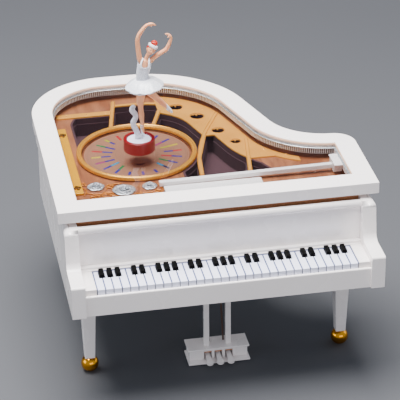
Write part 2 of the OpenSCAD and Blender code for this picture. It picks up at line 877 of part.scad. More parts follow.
// bare figure: legs, torso, arms, neck and head
module figure() {
    chain([[2.6, 2.5, 0.7, 0.6], [1.9, 2, 8.6, 0.9], [1.5, 1.5, 13.5, 1.5], [0.9, 1, 18.7, 1.5],
        [0.6, 0.4, 23, 2.1], [1.4, 0, 29, 2.4]]);
    chain([[4.4, 0.4, 30.5, 2.5], [9.5, 4.6, 23.6, 2.1], [14.2, 8.2, 18, 1.6],
        [18, 10.6, 12.8, 1.1], [20.6, 12, 9.6, 0.7]]);
    chain([[2.6, 0, 31, 3], [2, 0, 37, 2.6], [3, 0, 44.5, 2.9], [3.6, 0, 48.4, 1.5],
        [4.8, 0, 51.4, 1.3]]);
    chain([[0.9, 0, 48.2, 1.4], [-0.4, -0.4, 55.9, 1.4], [-0.8, -0.8, 60.8, 1.25],
        [1.5, -1.2, 66.1, 1.15], [4.9, -1.2, 69.6, 0.95], [8.6, -1.4, 69.2, 0.8]]);
    chain([[6.4, 0, 47.4, 1.4], [10.8, -0.4, 51.1, 1.3], [15, -0.8, 53.9, 1.25],
        [17, -1, 58, 1.15], [17.7, -1.2, 60.8, 1], [14.6, -1.2, 63.2, 0.8]]);
    translate([6, -0.2, 53.6]) rotate([0, head_tilt, 0]) scale([1, 1.1, 1.3]) sphere(2.6, $fn = 20);
}

module dancer_body() {
    color([0.94, 0.76, 0.64]) at_figure() figure();
}

// bodice and short spreading skirt
module dancer_dress() {
    color("white") at_figure() difference() {
        union() {
            translate([2.9, 0, 31.9]) rotate([0, -5, 0]) difference() {
                cylinder(h = 5.2, r1 = 11.2, r2 = 3.6, $fn = 40);
                translate([0, 0, -0.9]) cylinder(h = 5.2, r1 = 11.2, r2 = 3.6, $fn = 40);
            }
            hull() {
                translate([1.8, 0, 36.4]) cylinder(h = 0.5, r = 3.4, $fn = 32);
                translate([2.9, 0, 45.6]) scale([1.15, 0.95, 1]) cylinder(h = 0.5, r = 3.6, $fn = 32);
            }
        }
        figure();
    }
}

// hair cap with a bun on top
module dancer_hair() {
    color("orangered") at_figure() difference() {
        translate([6.9, 0.4, 54.9]) rotate([0, head_tilt, 0]) {
            scale([1, 1.05, 1.1]) sphere(2.9, $fn = 20);
            translate([0, 0.6, 3.5]) sphere(1.4, $fn = 16);
        }
        figure();
    }
}

case_shell();
bottom_cover();
cover_screws();
hinge_pins();
lid_bumpers();
key_bed();
key_slip();
key_blocks();
white_keys();
black_keys();
fallboard();
fallboard_rail();
front_strip();
leg_left();
leg_right();
leg_rear();
foot_left();
foot_right();
foot_rear();
lyre_posts();
lyre_rods();
pedal_box();
pedal_box_plates();
pedal_left();
pedal_middle();
pedal_right();
soundboard();
well_tray();
harp_plate();
ring_bezel();
bass_rail();
plate_screws();
roses();
filigree();
music_desk();
bedplate();
cylinder_brackets();
comb_base();
comb();
comb_screws();
lid_frame();
window_pane();
window_trim();
prop_bracket();
lid_prop();
turntable();
turntable_arbor();
drive_magnet();
spring_barrel();
mainspring();
winding_key();
pin_cylinder();
governor();
dancer_base();
dancer_disc();
dancer_magnet();
dancer_ribbon();
dancer_body();
dancer_dress();
dancer_hair();
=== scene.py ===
"""Ballerina jewellery box shaped as a small grand piano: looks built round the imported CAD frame."""

import json
from math import acos, atan2, ceil, cos, degrees, exp, hypot, pi, radians, sin, sqrt

import bmesh
import bpy
import numpy as np
from mathutils import Matrix, Vector

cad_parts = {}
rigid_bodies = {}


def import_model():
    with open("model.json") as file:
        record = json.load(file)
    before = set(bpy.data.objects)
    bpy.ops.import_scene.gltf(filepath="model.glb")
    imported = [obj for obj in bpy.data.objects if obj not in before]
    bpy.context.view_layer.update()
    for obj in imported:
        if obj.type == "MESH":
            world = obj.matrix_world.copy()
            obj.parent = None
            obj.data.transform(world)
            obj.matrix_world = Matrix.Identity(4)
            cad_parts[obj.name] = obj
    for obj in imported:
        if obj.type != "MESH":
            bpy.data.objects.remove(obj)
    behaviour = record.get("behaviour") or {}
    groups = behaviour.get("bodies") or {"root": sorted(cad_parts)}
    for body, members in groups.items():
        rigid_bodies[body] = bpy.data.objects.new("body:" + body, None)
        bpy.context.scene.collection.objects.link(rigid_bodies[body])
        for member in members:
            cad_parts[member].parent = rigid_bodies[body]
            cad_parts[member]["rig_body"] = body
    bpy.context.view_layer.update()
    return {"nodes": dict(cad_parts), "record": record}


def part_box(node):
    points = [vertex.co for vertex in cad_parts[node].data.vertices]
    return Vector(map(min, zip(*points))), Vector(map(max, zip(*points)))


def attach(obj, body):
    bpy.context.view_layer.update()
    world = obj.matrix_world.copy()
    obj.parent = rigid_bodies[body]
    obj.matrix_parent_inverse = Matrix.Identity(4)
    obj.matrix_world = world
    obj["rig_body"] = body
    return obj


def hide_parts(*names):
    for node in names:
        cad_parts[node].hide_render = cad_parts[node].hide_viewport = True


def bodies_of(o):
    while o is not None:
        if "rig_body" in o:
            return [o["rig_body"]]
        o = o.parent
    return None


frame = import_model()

NODES = frame["nodes"]
MM = 0.001
LID_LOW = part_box("lid_frame")[0]


# ---- places ----


def at(x, y, z):
    """A point in millimetres from the middle of the lid's front edge, above the table."""
    return Vector((x * MM, LID_LOW.y + y * MM, z * MM))


def plan_middle(low, high, z=0):
    """Middle of a box's plan, at height z."""
    return Vector(((low.x + high.x) / 2, (low.y + high.y) / 2, z))


def body_of(node):
    """Name of the body that a CAD node rides on."""
    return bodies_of(NODES[node])[0]


# ---- materials ----


def rgb(r, g, b):
    """Linear colour from ordinary 0 to 255 values."""
    out = []
    for v in (r, g, b):
        v /= 255
        out.append(v / 12.92 if v < 0.04045 else ((v + 0.055) / 1.055) ** 2.4)
    return (*out, 1)


class Finish:
    """One procedural material: a Principled shader with helpers that add detail to it."""

    def __init__(self, name, colour, roughness, **sockets):
        self.mat = bpy.data.materials.new(name)
        self.mat.use_nodes = True
        self.tree = self.mat.node_tree
        self.shader = self.tree.nodes["Principled BSDF"]
        self.colour = self.tree.nodes.new("ShaderNodeRGB").outputs[0]
        self.colour.default_value = colour
        self.link(self.colour, self.shader.inputs["Base Color"])
        self.shader.inputs["Roughness"].default_value = roughness
        for socket, value in sockets.items():
            self.shader.inputs[socket.replace("_", " ")].default_value = value
        self.height = None

    def link(self, a, b):
        self.tree.links.new(a, b)

    def node(self, kind, **props):
        n = self.tree.nodes.new("ShaderNode" + kind)
        for key, value in props.items():
            setattr(n, key, value)
        return n

    def place(self, scale=(1, 1, 1), turn=(0, 0, 0)):
        """Object coordinates, in metres, scaled and turned."""
        coords = self.node("TexCoord")
        mapping = self.node("Mapping")
        self.link(coords.outputs["Object"], mapping.inputs["Vector"])
        mapping.inputs["Scale"].default_value = scale
        mapping.inputs["Rotation"].default_value = turn
        return mapping.outputs[0]

    def noise(self, scale, detail=3, rough=0.5, vector=None, distortion=0):
        tex = self.node("TexNoise")
        self.link(vector or self.place(), tex.inputs["Vector"])
        tex.inputs["Scale"].default_value = scale
        tex.inputs["Detail"].default_value = detail
        tex.inputs["Roughness"].default_value = rough
        tex.inputs["Distortion"].default_value = distortion
        return tex.outputs["Fac"]

    def range(self, value, low, high, to_low=0, to_high=1):
        n = self.node("MapRange")
        self.link(value, n.inputs["Value"])
        for socket, v in zip(("From Min", "From Max", "To Min", "To Max"), (low, high, to_low, to_high)):
            n.inputs[socket].default_value = v
        return n.outputs[0]

    def maths(self, how, a, b):
        n = self.node("Math", operation=how)
        for i, v in enumerate((a, b)):
            if isinstance(v, (int, float)):
                n.inputs[i].default_value = v
            else:
                self.link(v, n.inputs[i])
        return n.outputs[0]

    def tint(self, colour, fac):
        """Mixes another colour over the base colour where fac is high."""
        n = self.node("Mix", data_type="RGBA")
        self.link(fac, n.inputs[0])
        self.link(self.colour, n.inputs[6])
        n.inputs[7].default_value = colour
        self.colour = n.outputs[2]
        self.link(self.colour, self.shader.inputs["Base Color"])
        return self

    def rough(self, value, low, high):
        self.link(self.range(value, 0.3, 0.7, low, high), self.shader.inputs["Roughness"])
        return self

    def bump(self, value, distance, strength=1.0):
        """Adds a height in metres to the surface normal."""
        n = self.node("Bump")
        n.inputs["Strength"].default_value = strength
        n.inputs["Distance"].default_value = distance
        self.link(value, n.inputs["Height"])
        if self.height:
            self.link(self.height, n.inputs["Normal"])
        self.height = n.outputs[0]
        self.link(self.height, self.shader.inputs["Normal"])
        return self


def moulded(name, colour, shade, roughness=0.24, coat=0.35):
    """Glossy moulded plastic: faint mottle, flow haze and orange peel."""
    f = Finish(name, colour, roughness, Coat_Weight=coat, Coat_Roughness=0.08, IOR=1.5)
    f.tint(shade, f.range(f.noise(22, 4), 0.35, 0.75, 0, 0.35))
    f.rough(f.noise(60, 3), roughness - 0.04, roughness + 0.07)
    f.bump(f.noise(110, 2), 0.00001, 0.2)
    return f


def metal(name, colour, dark, roughness, grain=(1, 1, 1), fine=900):
    """Metal with a brushed or cast grain and tarnish in faint patches."""
    f = Finish(name, colour, roughness, Metallic=1.0)
    f.tint(dark, f.range(f.noise(60, 4), 0.4, 0.8, 0, 0.5))
    brushed = f.noise(fine, 3, 0.6, f.place(grain))
    f.tint(dark, f.range(brushed, 0.45, 0.75, 0, 0.25))
    f.rough(brushed, roughness - 0.06, roughness + 0.1)
    f.bump(brushed, 0.00001, 0.5)
    return f


def gilt(name, colour, dark, roughness, metallic=0.55, fine=900, pebble=0.0):
    """Gold-coloured coating, part metal and part lacquer, with a soft cast grain."""
    f = Finish(name, colour, roughness, Metallic=metallic, Coat_Weight=0.15, Coat_Roughness=0.2)
    f.tint(dark, f.range(f.noise(70, 4), 0.4, 0.8, 0, 0.4))
    grain = f.noise(fine, 3)
    f.tint(dark, f.range(grain, 0.5, 0.8, 0, 0.3))
    f.rough(grain, roughness - 0.05, roughness + 0.1)
    f.bump(grain, 0.00001, 0.4)
    if pebble:
        f.bump(f.noise(2600, 2), 0.00003, pebble)
    return f


WHITE = moulded("white_gloss", rgb(248, 241, 238), rgb(238, 230, 227))
KEY_WHITE = moulded("white_key", rgb(230, 232, 250), rgb(212, 214, 240), 0.2, 0.3)
KEY_BLACK = Finish("black_key", rgb(2, 2, 2), 0.55, Specular_IOR_Level=0.05)
KEY_BLACK.tint(rgb(8, 7, 8), KEY_BLACK.range(KEY_BLACK.noise(300, 3), 0.5, 0.8, 0, 0.5))
KEY_BLACK.bump(KEY_BLACK.noise(900, 2), 0.00001, 0.4)
RED = moulded("base_red", rgb(112, 0, 8), rgb(88, 0, 5), 0.3, 0)
ROD = moulded("rod_brown", rgb(74, 44, 28), rgb(48, 26, 16), 0.3)
BUMPER = moulded("bumper_rubber", rgb(70, 70, 74), rgb(52, 52, 56), 0.6, 0)
MAGNET = metal("magnet", rgb(70, 72, 78), rgb(40, 41, 45), 0.35)
STEEL = metal("movement_steel", rgb(196, 198, 202), rgb(140, 142, 150), 0.28, (1, 8, 8))
COMB = metal("comb_steel", rgb(176, 188, 206), rgb(120, 130, 150), 0.22, (8, 1, 1))
SPRING = metal("spring_steel", rgb(120, 130, 150), rgb(70, 80, 110), 0.25)
SCREW = metal("screw_steel", rgb(120, 84, 50), rgb(60, 36, 22), 0.4)
BRASS = metal("brass", rgb(222, 178, 92), rgb(160, 112, 50), 0.26, (6, 1, 6))
SILVER = gilt("rose_silver", rgb(206, 208, 212), rgb(128, 130, 138), 0.28, 0.6)
FOOT = metal("gold_foot", rgb(232, 160, 34), rgb(190, 116, 16), 0.06, fine=300)
RAIL = gilt("rail_gold", rgb(240, 172, 20), rgb(214, 136, 8), 0.32, 0.3)
RING = gilt("ring_gold", rgb(238, 170, 60), rgb(214, 142, 40), 0.24, 0.5, fine=3000)
VINE = gilt("vine_gold", rgb(198, 118, 34), rgb(128, 66, 18), 0.36, 0.4)
TRIM = gilt("trim_silver", rgb(250, 248, 244), rgb(226, 220, 214), 0.36, 0.08)
# painted shade: dark strip that shows in the valleys between the window's ribs
TRIM_PAINTED_SHADE = moulded("trim_shade", rgb(92, 70, 62), rgb(70, 52, 46), 0.5, 0)
# painted shade: dark blue in the gaps between the white keys, and a painted shadow strip behind them
KEY_SHADE_BLUE = moulded("key_shade_blue", rgb(40, 56, 110), rgb(30, 42, 90), 0.5, 0)
TRIM_BRIGHT = gilt("trim_bright", rgb(226, 232, 234), rgb(186, 192, 196), 0.24, 0.6)
# painted shade and reflection: beige band standing in for the shaded inner wall of the lid above the pane
WALL_SHADE_BEIGE = moulded("wall_shade_beige", rgb(212, 174, 148), rgb(188, 148, 122), 0.35, 0.2)


def gold_plate():
    """Stamped gold-coloured plate with a fine pebbled face."""
    return gilt("gold_plate", rgb(234, 164, 66), rgb(208, 134, 44), 0.38, 0.3, 1400, 0.4)


def deck_wood():
    """Reddish brown lacquered board with grain along the piano's length."""
    f = Finish("deck_wood", rgb(134, 78, 50), 0.35, Coat_Weight=0.2, Coat_Roughness=0.15)
    along = f.place((90, 9, 90), (0, 0, radians(12)))
    grain = f.noise(1, 6, 0.6, along, 1.2)
    f.tint(rgb(160, 102, 68), f.range(grain, 0.4, 0.62))
    f.tint(rgb(96, 52, 34), f.range(f.noise(6, 3, 0.6, along, 0.6), 0.55, 0.7, 0, 0.6))
    f.bump(grain, 0.00004, 0.4)
    return f


def felt():
    """Brown felt strip."""
    f = Finish("felt_brown", rgb(196, 130, 84), 0.85, Sheen_Weight=0.3, Sheen_Roughness=0.5)
    fibres = f.noise(2200, 4, 0.7)
    f.tint(rgb(160, 100, 62), f.range(fibres, 0.42, 0.65))
    f.bump(fibres, 0.0001, 0.6)
    return f


def flock():
    """Purple-brown flocked well lining."""
    f = Finish("well_flock", rgb(66, 38, 44), 0.9, Sheen_Weight=0.12, Sheen_Roughness=0.5)
    f.shader.inputs["Sheen Tint"].default_value = rgb(150, 110, 110)
    fibres = f.noise(2600, 4, 0.7)
    f.tint(rgb(76, 46, 52), f.range(fibres, 0.45, 0.65))
    f.tint(rgb(52, 30, 36), f.range(f.noise(70, 3), 0.5, 0.75, 0, 0.5))
    f.bump(fibres, 0.00012, 0.7)
    return f


def window_clear():
    """Clear acrylic: see-through, with a gloss that grows towards grazing."""
    f = Finish("clear_pane", rgb(255, 255, 255), 0.03)
    tree = f.tree
    clear = tree.nodes.new("ShaderNodeBsdfTransparent")
    clear.inputs[0].default_value = rgb(246, 247, 248)
    gloss = tree.nodes.new("ShaderNodeBsdfGlossy")
    gloss.inputs["Roughness"].default_value = 0.03
    fresnel = tree.nodes.new("ShaderNodeFresnel")
    fresnel.inputs["IOR"].default_value = 2.2
    mix = tree.nodes.new("ShaderNodeMixShader")
    outside = f.maths("SUBTRACT", 1, f.node("NewGeometry").outputs["Backfacing"])
    gleam = f.maths("MULTIPLY", fresnel.outputs[0], f.range(f.noise(80, 3), 0, 1, 0.85, 1.0))
    f.link(f.maths("MULTIPLY", gleam, outside), mix.inputs[0])
    f.link(clear.outputs[0], mix.inputs[1])
    f.link(gloss.outputs[0], mix.inputs[2])
    f.link(mix.outputs[0], tree.nodes["Material Output"].inputs[0])
    tree.nodes.remove(f.shader)
    return f


def skin():
    f = Finish("skin", rgb(234, 164, 120), 0.42, Subsurface_Weight=0.15, Subsurface_Scale=0.002)
    f.shader.inputs["Subsurface Radius"].default_value = (1, 0.4, 0.25)
    f.tint(rgb(222, 138, 98), f.range(f.noise(260, 3), 0.45, 0.75, 0, 0.4))
    f.bump(f.noise(2400, 2), 0.00001, 0.3)
    return f


def hair():
    """Painted red hair with combed strands."""
    f = Finish("hair_red", rgb(190, 34, 14), 0.4, Coat_Weight=0.2)
    strands = f.noise(1, 4, 0.6, f.place((5200, 5200, 700)))
    f.tint(rgb(220, 66, 30), f.range(strands, 0.5, 0.7, 0, 0.6))
    f.tint(rgb(120, 30, 18), f.range(strands, 0.45, 0.25, 0, 0.6))
    f.bump(strands, 0.0001, 0.8)
    return f


def satin(name, light, dark, scale):
    """Pearly patterned dress plastic."""
    f = Finish(name, light, 0.32, Coat_Weight=0.4, Coat_Roughness=0.12, Sheen_Weight=0.2)
    cells = f.node("TexVoronoi", feature="F1")
    f.link(f.place(), cells.inputs["Vector"])
    cells.inputs["Scale"].default_value = scale
    f.tint(dark, f.range(cells.outputs["Distance"], 0.25, 0.7, 0, 0.5))
    f.bump(cells.outputs["Distance"], 0.00012, 0.6)
    return f


PLATE = gold_plate()
WOOD = deck_wood()
FLOCK = flock()
PANE = window_clear()
SKIN = skin()
HAIR = hair()
DRESS = satin("dress_white", rgb(242, 242, 246), rgb(198, 200, 214), 1100)
BODICE = satin("dress_bodice", rgb(226, 228, 236), rgb(150, 154, 172), 1600)
RIBBON = satin("ribbon_grey", rgb(206, 206, 216), rgb(160, 160, 176), 900)
DISC = Finish("disc_tan", rgb(144, 98, 74), 0.5)
DISC.tint(rgb(146, 98, 74), DISC.range(DISC.noise(500, 3), 0.4, 0.7))
DISC.bump(DISC.noise(900, 2), 0.00002, 0.5)

FELT = felt()
EYE_WHITE = moulded("paint_eye", rgb(240, 240, 240), rgb(228, 228, 232), 0.3)
EYE_DARK = moulded("paint_dark", rgb(52, 40, 40), rgb(34, 26, 26), 0.35)
BROW = moulded("paint_brow", rgb(150, 74, 48), rgb(120, 56, 36), 0.5)
LIPS = moulded("paint_lips", rgb(196, 84, 78), rgb(176, 66, 62), 0.35)
INK_COLOURS = {
    "blue": (26, 30, 128), "navy": (14, 18, 70), "magenta": (140, 24, 96), "lime": (160, 160, 10),
    "red": (176, 14, 30), "green": (6, 110, 56), "cyan": (16, 130, 170), "yellow": (190, 170, 10),
    "grey": (122, 88, 70),
}
INKS = {
    name: moulded("ink_" + name, rgb(*c), rgb(*(int(v * 0.8) for v in c)), 0.45, 0)
    for name, c in INK_COLOURS.items()
}
# colours of the dashes, inner half then outer half, and the radius where each starts
DASHES = (
    ("blue", "red", 15.6), ("lime", "yellow", 15), ("magenta", "blue", 14), ("blue", "blue", 15),
    ("red", "blue", 15), ("green", "blue", 15), ("red", "red", 20), ("blue", "lime", 18),
    ("blue", "green", 14),
    ("blue", "red", 14), ("blue", "yellow", 15), ("blue", "magenta", 14), ("cyan", "blue", 14),
    ("green", "blue", 16), ("blue", "blue", 22), ("blue", "blue", 22), ("blue", "blue", 22),
    ("cyan", "navy", 16), ("green", "blue", 14), ("red", "blue", 14),
)

SLOT_FINISH = {
    "white_gloss": WHITE, "white_key": KEY_WHITE, "black_key": KEY_BLACK, "screw_steel": SCREW,
    "movement_steel": STEEL, "comb_steel": COMB, "brass": BRASS, "gold_plate": PLATE,
    "gold_foot": FOOT, "rail_gold": RAIL, "bumper_rubber": BUMPER, "rod_brown": ROD,
    "deck_wood": WOOD, "well_flock": FLOCK, "rose_silver": SILVER, "clear_pane": PANE,
    "trim_silver": TRIM, "disc_tan": DISC, "magnet": MAGNET, "spring_steel": SPRING,
    "base_red": RED, "felt_brown": FELT, "ribbon_grey": RIBBON, "skin": SKIN, "dress_white": DRESS,
    "hair_red": HAIR,
}
NODE_SLOT = {p["node"]: p["material_slot"] for p in frame["record"]["subparts"]}


def finish_of(node):
    return SLOT_FINISH[NODE_SLOT[node]]


# ---- making pieces ----


def piece(name, bm, finish, body, smooth=40, replaces=()):
    """Turns a bmesh into a shown piece that rides on a CAD body."""
    mesh = bpy.data.meshes.new(name)
    bm.to_mesh(mesh)
    bm.free()
    mesh.materials.append(finish.mat)
    mesh.polygons.foreach_set("use_smooth", [True] * len(mesh.polygons))
    mesh.set_sharp_from_angle(angle=radians(smooth))
    obj = bpy.data.objects.new(name, mesh)
    bpy.context.scene.collection.objects.link(obj)
    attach(obj, body)
    if replaces:
        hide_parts(*replaces)
    return obj


def clean_copy(node):
    """bmesh of a CAD node with its split corners joined and flat regions made single faces."""
    bm = bmesh.new()
    bm.from_mesh(NODES[node].data)
    bmesh.ops.remove_doubles(bm, verts=bm.verts, dist=1e-6)
    bmesh.ops.dissolve_limit(bm, angle_limit=radians(0.6), verts=bm.verts, edges=bm.edges)
    return bm


def soften(node, width, angle=30, segments=2, shortest=3.0):
    """Stands a copy with rounded edges in for a hard-edged CAD node."""
    bm = clean_copy(node)
    edges = [
        e for e in bm.edges
        if e.is_manifold
        and e.calc_face_angle(0) > radians(angle)
        and e.calc_length() > shortest * width * MM
    ]
    bmesh.ops.bevel(
        bm, geom=edges, offset=width * MM, offset_type="OFFSET", segments=segments,
        profile=0.5, affect="EDGES", clamp_overlap=True,
    )
    obj = piece(node + "_soft", bm, finish_of(node), body_of(node), 35, [node])
    obj.modifiers.new("weights", "WEIGHTED_NORMAL").keep_sharp = True
    return obj


SOFT_EDGES = {
    "case_shell": 0.35, "bottom_cover": 0.3, "key_bed": 0.2, "key_slip": 0.25, "key_blocks": 0.35,
    "white_keys": 0.22, "black_keys": 0.35, "fallboard": 0.3, "fallboard_rail": 0.2,
    "leg_left": 0.4, "leg_right": 0.4, "leg_rear": 0.4, "lyre_posts": 0.35,
    "pedal_box": 0.35, "pedal_box_plates": 0.3, "front_strip": 0.3,
    "pedal_left": 0.25, "pedal_middle": 0.25, "pedal_right": 0.25,
    "harp_plate": 0.15, "bass_rail": 0.25, "music_desk": 0.3, "bedplate": 0.2,
    "cylinder_brackets": 0.2, "comb_base": 0.2, "lid_frame": 0.75, "window_pane": 0.15,
    "prop_bracket": 0.2, "lid_prop": 0.35, "winding_key": 0.25, "governor": 0.1,
    "drive_magnet": 0.15, "dancer_magnet": 0.2, "dancer_base": 0.2, "dancer_disc": 0.15,
}
for node_name, edge in SOFT_EDGES.items():
    soften(node_name, edge)

for node_name, obj in NODES.items():
    obj.data.materials.clear()
    obj.data.materials.append(finish_of(node_name).mat)


# ---- outline of the piano, as in the CAD source ----


def arc(centre, radius, start, end):
    """Points along an arc in millimetres, one for about every three degrees."""
    n = ceil(abs(end - start) / 3)
    angles = np.radians(np.linspace(start, end, n + 1))
    return [(centre[0] + radius * cos(a), centre[1] + radius * sin(a)) for a in angles]


def outline(d, front):
    """Piano outline in lid millimetres, drawn in by d all round and by front at the front edge."""
    half, depth, left_r, tail_r, corner_r, bent_r, lean = 87.5, 165.0, 46.0, 62.0, 12.0, 34.0, 3.1
    left, tail, corner = (left_r - half, depth - left_r), (-24, depth - tail_r), (half - corner_r, 51.5)
    reach = corner_r + bent_r
    bent = (corner[0] + reach * sin(radians(lean)), corner[1] + reach * cos(radians(lean)))
    gap = (bent[0] - tail[0], bent[1] - tail[1])
    bend = degrees(atan2(gap[1], gap[0]) + acos((tail_r + bent_r) / hypot(*gap)))
    return [
        (d - half, front), (half - d, front),
        *arc(corner, corner_r - d, 0, 90 - lean), *arc(bent, bent_r + d, 268 - lean, 180 + bend),
        *arc(tail, tail_r - d, bend, 90), *arc(left, left_r - d, 90, 180),
    ]


def along(points, step):
    """Even samples round a closed outline: place and inward direction."""
    pts = [np.array(p) for p in points]
    out, carry = [], 0.0
    for a, b in zip(pts, pts[1:] + pts[:1]):
        length = np.linalg.norm(b - a)
        if length < 1e-9:
            continue
        way = (b - a) / length
        while carry < length:
            out.append((a + way * carry, np.array((-way[1], way[0]))))
            carry += step
        carry -= length
    return out


# corners of a strip's section that the ripple moves
RIPPLED = (1, 2)


def strip(name, d, front, profile, step, finish, body, ripple=None, replaces=()):
    """Closed band along the outline: profile is (inward mm, height mm), and ripple scales the inward part."""
    bm = bmesh.new()
    rows = []
    for i, (place, inward) in enumerate(along(outline(d, front), step)):
        scale = ripple(i * step) if ripple else 1
        rows.append([
            bm.verts.new(at(*(place + inward * (depth * (scale if k in RIPPLED else 1))), z))
            for k, (depth, z) in enumerate(profile)
        ])
    for a, b in zip(rows, rows[1:] + rows[:1]):
        bridge(bm, a, b, len(profile))
    bmesh.ops.recalc_face_normals(bm, faces=bm.faces)
    return piece(name, bm, finish, body, 50, replaces)


# ---- shapes ----


def bridge(bm, a, b, count):
    """Faces between two rows of corners, round to the first corner where count is the whole row."""
    for i in range(count):
        k = (i + 1) % len(a)
        bm.faces.new((a[i], a[k], b[k], b[i]))


def full_turn(count):
    """Even angles round a circle, with both ends."""
    return np.linspace(0, 2 * pi, count)


def catmull(points, steps):
    """Smooth path through points of any length, steps per span."""
    pts = [np.array(p, float) for p in points]
    pts = [2 * pts[0] - pts[1], *pts, 2 * pts[-1] - pts[-2]]
    out = []
    for i in range(1, len(pts) - 2):
        a, b, c, d = pts[i - 1 : i + 3]
        for k in range(steps):
            t = k / steps
            out.append(0.5 * (
                2 * b + (c - a) * t + (2 * a - 5 * b + 4 * c - d) * t * t + (3 * b - a - 3 * c + d) * t**3
            ))
    out.append(pts[-2])
    return out


def tube(bm, rows, sides=20, shape=None, steps=5):
    """Closed lofted tube through rows [x, y, z, radius] in metres; shape(angle, row) gives its section."""
    path = catmull(rows, steps)
    side = Vector((0, 1, 0))
    rings = []
    for i, row in enumerate(path):
        here = Vector(row[:3])
        way = Vector(path[min(i + 1, len(path) - 1)][:3]) - Vector(path[max(i - 1, 0)][:3])
        way.normalize()
        if abs(side.dot(way)) > 0.97:
            side = Vector((1, 0, 0))
        side = (side - way * side.dot(way)).normalized()
        other = way.cross(side)
        ring = []
        for k in range(sides):
            a = 2 * pi * k / sides
            u, v = (cos(a), sin(a)) if shape is None else shape(a, row)
            ring.append(bm.verts.new(here + (side * u + other * v) * row[3]))
        rings.append((here, way, ring))
    for (_, _, a), (_, _, b) in zip(rings, rings[1:]):
        bridge(bm, a, b, sides)
    for (here, way, ring), sign, radius in ((rings[0], -1, path[0][3]), (rings[-1], 1, path[-1][3])):
        last = ring
        for lift, scale in ((0.45, 0.85), (0.75, 0.5)):
            cap = [bm.verts.new(here + way * sign * lift * radius + (v.co - here) * scale) for v in ring]
            bridge(bm, last, cap, sides)
            last = cap
        tip = bm.verts.new(here + way * sign * 0.85 * radius)
        for k in range(sides):
            bm.faces.new((last[k], last[(k + 1) % sides], tip))
    bmesh.ops.recalc_face_normals(bm, faces=bm.faces)


def fuse(name, bm, voxel, finish, body, smooth=4, replaces=()):
    """Joins overlapping closed shapes into one smooth skin."""
    mesh = bpy.data.meshes.new(name)
    bm.to_mesh(mesh)
    bm.free()
    obj = bpy.data.objects.new(name + "_parts", mesh)
    bpy.context.scene.collection.objects.link(obj)
    remesh = obj.modifiers.new("fuse", "REMESH")
    remesh.mode = "VOXEL"
    remesh.voxel_size = voxel
    relax = obj.modifiers.new("relax", "SMOOTH")
    relax.factor = 0.5
    relax.iterations = smooth
    made = bpy.data.meshes.new_from_object(obj.evaluated_get(bpy.context.evaluated_depsgraph_get()))
    bpy.data.objects.remove(obj)
    out = bmesh.new()
    out.from_mesh(made)
    return piece(name, out, finish, body, 180, replaces)


def lathe(name, centre, profile, finish, body, sides, replaces=()):
    """Turned piece: profile of (radius, height) in metres round the vertical line through centre."""
    bm = bmesh.new()
    rings = []
    for r, z in profile:
        if r < 1e-7:
            rings.append([bm.verts.new(centre + Vector((0, 0, z)))] * sides)
        else:
            turn = (2 * pi * k / sides for k in range(sides))
            rings.append([bm.verts.new(centre + Vector((r * cos(a), r * sin(a), z))) for a in turn])
    for a, b in zip(rings, rings[1:]):
        for k in range(sides):
            corners = list(dict.fromkeys((a[k], a[(k + 1) % sides], b[(k + 1) % sides], b[k])))
            if len(corners) > 2:
                bm.faces.new(corners)
    bmesh.ops.recalc_face_normals(bm, faces=bm.faces)
    return piece(name, bm, finish, body, 30, replaces)


def grid(bm, point, nu, nv, closed=False):
    """Grid of faces from point(u, v), with u and v from 0 to 1; closed joins the ends of u."""
    rows = [
        [bm.verts.new(point(i / nu, j / nv)) for i in range(nu if closed else nu + 1)] for j in range(nv + 1)
    ]
    for a, b in zip(rows, rows[1:]):
        bridge(bm, a, b, nu)
    return rows


def thicken(obj, depth, offset=-1.0):
    """Gives an open sheet its thickness in metres."""
    mod = obj.modifiers.new("thickness", "SOLIDIFY")
    mod.thickness = depth
    mod.offset = offset
    return obj


# ---- window trim ----

PANE_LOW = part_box("window_pane")[0].z / MM
PANE_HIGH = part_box("window_pane")[1].z / MM
TRIM_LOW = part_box("window_trim")[0].z / MM
FRAME_W = 11.7


def ribs(s):
    """Depth of the ribbed trim at a distance along it."""
    return 0.25 + 0.75 * max(0, sin(2 * pi * s / 1.2)) ** 0.5


def trim_window():
    """Ribs, a dark strip behind them as painted shade in their valleys, the bead over them, and a beige band
    above the pane as painted shade and reflection on the lid's inner wall.
    """
    high = PANE_LOW - 0.75
    ribbed = [(0.0, TRIM_LOW), (0.8, TRIM_LOW + 0.1), (0.8, high), (0.0, high)]
    front = strip("trim_ribs", FRAME_W, FRAME_W + 1, ribbed, 0.15, TRIM, "lid", ribs, ["window_trim"])
    # dark strip behind the ribs: painted shade in the valleys between them
    back = [(0.0, TRIM_LOW + 0.05), (0.42, TRIM_LOW + 0.15), (0.42, high), (0.0, high)]
    strip("trim_shade", FRAME_W, FRAME_W + 1, back, 1.0, TRIM_PAINTED_SHADE, "lid")
    bead = [
        (0.0, high), (0.55, high), (0.82, high + 0.18), (0.9, high + 0.38), (0.82, high + 0.58),
        (0.55, PANE_LOW),
        (0.0, PANE_LOW),
    ]
    strip("trim_bead", FRAME_W, FRAME_W + 1, bead, 1.0, TRIM_BRIGHT, "lid")
    # beige band above the pane: painted shade and reflection on the lid's inner wall
    wall_shade = [
        (0.02, PANE_HIGH), (0.34, PANE_HIGH), (0.3, PANE_HIGH + 0.5), (0.14, PANE_HIGH + 1.02),
        (0.02, PANE_HIGH + 1.1),
    ]
    strip("window_wall_shade", FRAME_W, FRAME_W + 1, wall_shade, 1.0, WALL_SHADE_BEIGE, "lid")


# ---- turntable, ring and dashes ----

DASH_STEP = 360 / len(DASHES)
DASH_END = 26


